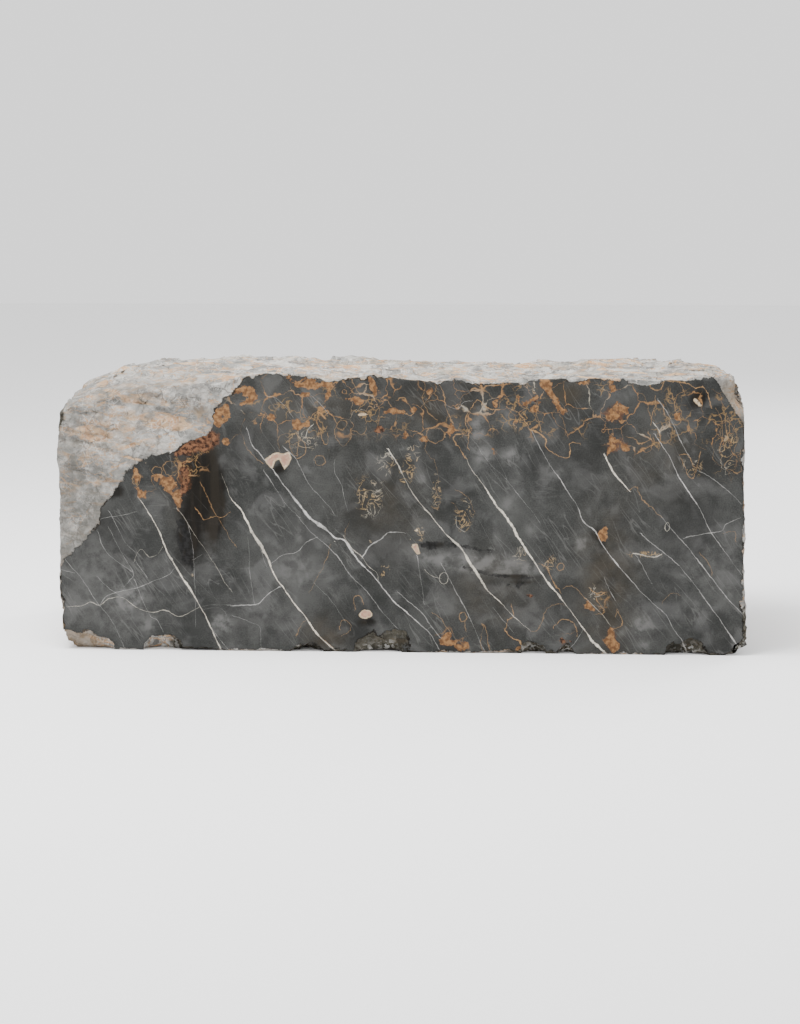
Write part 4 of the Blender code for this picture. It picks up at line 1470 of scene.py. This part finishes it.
lace_zone = fade(total(lace_share, sway(20, 3, 0.9)), 0.38, 0.8)
net = network(23, clumps(38, 3, 0.47, 0.66, 0.0085, 0.072), 42, 0.034)
net = product(net, lace_zone, clumps(27, 2, 0.37, 0.47))
sawn = over(net, sawn, over(clumps(16, 2, 0.52, 0.68), NET_OCHRE, NET_CREAM))
fine_net = product(network(46, 0.055, 80, 0.022), lace_zone, clumps(23, 2, 0.5, 0.62), 0.7)
sawn = over(fine_net, sawn, FINE_NET_OCHRE)

curls = contour(noise(58, 2.5, twist=0.9), 0.5, 0.026)
curl_zone = fade(total(curl_share, sway(30, 3, 0.8)), 0.25, 0.6)
sawn = over(product(curls, curl_zone), sawn, over(clumps(25, 2, 0.4, 0.6), CURL_OCHRE, CURL_CREAM))
print("net and curls drawn")

# %% Patches
ochre_gap, brown_gap, cream_gap, dark_gap = read("patches")
ragged = total(sway(85, 3, 17.0), sway(300, 2, 6.0))
stain = clumps(150, 4, 0.40, 0.60)
web = clumps(58, 2, 0.33, 0.40, 0.1, 1.0, twist=0.6)
gaps_in_black = clumps(60, 3, 0.36, 0.56, 0.1, 1.0)
PATCH_EDGE = 0.7

# Gap to the border in millimetres, two colours, strength, raggedness and holes.
PATCH_COLOURS = (
    (dark_gap, grey(0.007), grey(0.015), 0.85, 1.0, gaps_in_black),
    (brown_gap, (0.018, 0.0095, 0.007, 1.0), (0.155, 0.072, 0.038, 1.0), 0.9, 1.4, web),
    (total(ochre_gap, -1.0), (0.100, 0.050, 0.024, 1.0), (0.225, 0.120, 0.053, 1.0), 0.95, 1.0, web),
    (cream_gap, (0.33, 0.25, 0.16, 1.0), (0.46, 0.37, 0.26, 1.0), 0.95, 0.3, 1.0),
    (total(cream_gap, 2.2), (0.33, 0.215, 0.155, 1.0), (0.25, 0.125, 0.090, 1.0), 0.85, 0.6, 1.0),
)
markings = sawn
for gap, colour_low, colour_high, strength, raggedness, holes in PATCH_COLOURS:
    border = total(gap, product(ragged, raggedness))
    mask = product(fade(border, -PATCH_EDGE, PATCH_EDGE, strength, 0.0), holes)
    markings = over(mask, markings, over(stain, colour_low, colour_high))
print("patches drawn in", len(PATCH_COLOURS), "layers")

# %% Long veins
wobble = total(sway(40, 3, 5.0), sway(210, 2, 1.8))
swell = product(clumps(75, 3, 0.32, 0.68, 0.45, 1.2), clumps(19, 2, 0.36, 0.62, 0.4, 1.1))
crystals = product(clumps(180, 3, 0.3, 0.6, 0.55, 1.0), clumps(24, 2, 0.35, 0.6, 0.6, 1.0))
all_veins = 0.0
for index in range(len(vein_families)):
    family = add_node("ShaderNodeGroup", {"wobble": wobble, "swell": swell}, node_tree=vein_group)
    for value, name in zip(read(f"veins_{index}"), ("signed", "plain", "half", "tint")):
        feed(family.inputs[name], value)
    all_veins = calc("MAXIMUM", all_veins, family.outputs["mask"])
    markings = over(product(family.outputs["mask"], crystals), markings, family.outputs["colour"])
print("veins drawn from", len(vein_families), "families")

# %% [markdown]
# ## The broken faces
# A fresh break is pale, with the layers of the stone running along the block as cream and
# ochre streaks. It is darker close to the sawn skin, and bottom corners keep a brown skin of
# weathered stone. Crushed crystals are almost white. Painted shade darkens parts of the big
# flake scar and of the chips along the base.

# %% Colour of the broken stone
FRESH_DARK = grey(0.145, 0.05)
FRESH_PALE = grey(0.41, 0.07)
COOL_GREY = (0.185, 0.19, 0.18, 1.0)
LAYER_BUFF = (0.26, 0.225, 0.17, 1.0)
PEACH_PALE = (0.50, 0.33, 0.185, 1.0)
PEACH_DEEP = (0.42, 0.235, 0.115, 1.0)
SEAM_OCHRE = (0.42, 0.245, 0.12, 1.0)
RIDGE_WHITE = grey(0.62, 0.06)
CRACK_DARK = (0.075, 0.065, 0.055, 1.0)


def shards(scale, shake_scale, shake):
    """A random tone for each flake of the break, and how far each place is from its rim."""
    inputs = {"Vector": warped(shake_scale, shake), "Scale": scale}
    flake = add_node("ShaderNodeTexVoronoi", inputs).outputs["Color"]
    rim = add_node("ShaderNodeTexVoronoi", inputs, feature="DISTANCE_TO_EDGE").outputs["Distance"]
    return add_node("ShaderNodeSeparateColor", {"Color": flake}).outputs[0], rim


peach_share, painted_shade_and_grey_share, skin_share, frost_share = read("breaks")
wide_flake, wide_rim = shards(38, 30, 0.030)
small_flake, small_rim = shards(105, 90, 0.012)
bruise = total(product(noise(24, 4), 0.52), product(noise(120, 3), 0.24))
bruise = total(bruise, product(wide_flake, 0.14), product(small_flake, 0.10))
broken = over(fade(bruise, 0.39, 0.59), FRESH_DARK, FRESH_PALE)
cool_patch = product(clumps(17, 3, 0.50, 0.60, 0.0, 0.7, twist=0.5), fade(small_flake, 0.1, 0.9, 0.5, 1.0))
broken = over(cool_patch, broken, COOL_GREY)

bands = noise(1.0, 5, stretched((0.0, 0.06, 0.0), (5, 14, 30)), 0.6, 0.4)
broken = over(fade(bands, 0.36, 0.48, 0.45, 0.0), broken, LAYER_BUFF)
streaks = noise(1.0, 4, stretched((0.0, -0.12, 0.0), (11, 20, 55)), 0.6, 0.7)
streaks = product(fade(streaks, 0.57, 0.63, 0.0, 0.9), clumps(13, 2, 0.36, 0.52, 0.15, 1.0))
streaks = calc("MAXIMUM", streaks, product(peach_share, clumps(70, 3, 0.42, 0.55)))
broken = over(streaks, broken, over(clumps(60, 2, 0.4, 0.6), PEACH_PALE, PEACH_DEEP))
level_seam = noise(1.0, 3, stretched((0.0, 0.15, 0.0), (10, 20, 36)), twist=0.5)
tilted_seam = noise(1.0, 3, stretched((0.0, -0.25, 0.0), (20, 22, 50), (4, 2, 9)), twist=0.6)
seams = calc("MAXIMUM", contour(level_seam, 0.52, 0.020), contour(tilted_seam, 0.47, 0.018))
broken = over(product(seams, clumps(15, 2, 0.42, 0.55, 0.15, 0.95)), broken, SEAM_OCHRE)

ridges = product(fade(small_rim, 0.0, 0.10, 1.0, 0.0), clumps(50, 2, 0.42, 0.60, 0.0, 0.55))
broken = over(ridges, broken, RIDGE_WHITE)
cracks = product(fade(wide_rim, 0.0, 0.05, 1.0, 0.0), clumps(33, 2, 0.50, 0.60, 0.0, 0.8, twist=0.4))
broken = over(cracks, broken, CRACK_DARK)
print("colour of fresh breaks made")

# %% Painted shade, dark chips, skin and crystals on the breaks
THIN_GREY = grey(0.13, 0.06)
PAINTED_SHADE_AND_GREY = (0.095, 0.090, 0.080, 1.0)
OLIVE_DARK = (0.018, 0.0165, 0.012, 1.0)
OLIVE_PALE = (0.058, 0.053, 0.041, 1.0)
VEIN_WHITE = grey(0.62, 0.08)
SKIN_BROWN = (0.15, 0.105, 0.062, 1.0)
FROST_WHITE = grey(0.72, 0.04)
CRYSTAL_SCALE = 260
THIN_WIDTH = 12.0

margin = add_node("ShaderNodeAttribute", attribute_name="margin").outputs["Fac"]
near_skin = product(fade(margin, 0.0, THIN_WIDTH, 0.5, 0.0), clumps(60, 3, 0.3, 0.65, 0.1, 1.0))
broken = over(near_skin, broken, THIN_GREY)
# Painted shade on the big flake scar; at the upper right corner the same grey is the stone's own.
broken = over(product(painted_shade_and_grey_share, clumps(40, 4, 0.35, 0.6, 0.45, 0.85)), broken, PAINTED_SHADE_AND_GREY)
# Dark olive on the chips along the base, partly painted shade under the edge; in the hollow chip it is
# painted shade.
dark_chips_and_shade = fade(total(olive_share, sway(70, 4, 0.5)), 0.05, 0.22, 0.0, 0.96)
broken = over(dark_chips_and_shade, broken, over(fade(bruise, 0.40, 0.60), OLIVE_DARK, OLIVE_PALE))
broken = over(product(all_veins, 0.30), broken, VEIN_WHITE)
broken = over(product(skin_share, clumps(50, 4, 0.35, 0.6, 0.6, 1.0)), broken, SKIN_BROWN)
sparkle = add_node("ShaderNodeTexVoronoi", {"Vector": where, "Scale": CRYSTAL_SCALE}).outputs["Color"]
glint = fade(add_node("ShaderNodeSeparateColor", {"Color": sparkle}).outputs[0], 0.55, 0.75)
broken = over(product(glint, calc("MULTIPLY_ADD", frost_share, 0.5, 0.03)), broken, FROST_WHITE)
print("broken finish made")

# %% Sawn skin meets break
EDGE_SHADOW_BLACK = (0.009, 0.007, 0.005, 1.0)
SAW_SQUEEZE = (420, 6, 5)
RELIEF_DEPTH = 0.0045
DULL_SPECULAR = 0.06
BROKEN_ROUGHNESS = 0.82

torn = total(margin, sway(85, 4, 13.0), sway(330, 2, 4.0))
is_broken = fade(torn, -0.35, 0.35)
colour = over(is_broken, markings, broken)
# A thin black line where the break meets the sawn skin is painted shadow under the break's edge.
edge_shadow = product(contour(torn, 0.5, 1.7), clumps(28, 3, 0.42, 0.54), 0.95)
colour = over(edge_shadow, colour, EDGE_SHADOW_BLACK)

saw_marks = noise(1.0, 2, stretched((0.0, 0.0, 0.0), SAW_SQUEEZE))
sawn_height = total(product(saw_marks, 0.05), product(speckle, 0.10))
break_height = total(product(noise(70, 5, roughness=0.6), 2.1), product(noise(500, 3), 0.30))
break_height = total(break_height, product(wide_flake, 0.75), product(small_flake, 0.50))
relief = {0: is_broken, 2: sawn_height, 3: break_height}
relief = add_node("ShaderNodeMix", relief, data_type="FLOAT").outputs[0]
bump = add_node("ShaderNodeBump", {"Strength": 1.0, "Distance": RELIEF_DEPTH, "Height": relief})
roughness = {0: is_broken, 2: fade(speckle, 0.3, 0.7, 0.42, 0.56), 3: BROKEN_ROUGHNESS}
roughness = add_node("ShaderNodeMix", roughness, data_type="FLOAT").outputs[0]
shader = add_node("ShaderNodeBsdfPrincipled", {
    "Base Color": colour, "Roughness": roughness,
    "Specular IOR Level": DULL_SPECULAR, "Normal": bump.outputs[0],
})
add_node("ShaderNodeOutputMaterial", {"Surface": shader.outputs[0]})
stone_mesh.materials.append(material)
print("stone material has", len(tree.nodes), "nodes")

# %% Finish
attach(stone, "root")
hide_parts("marble_block")
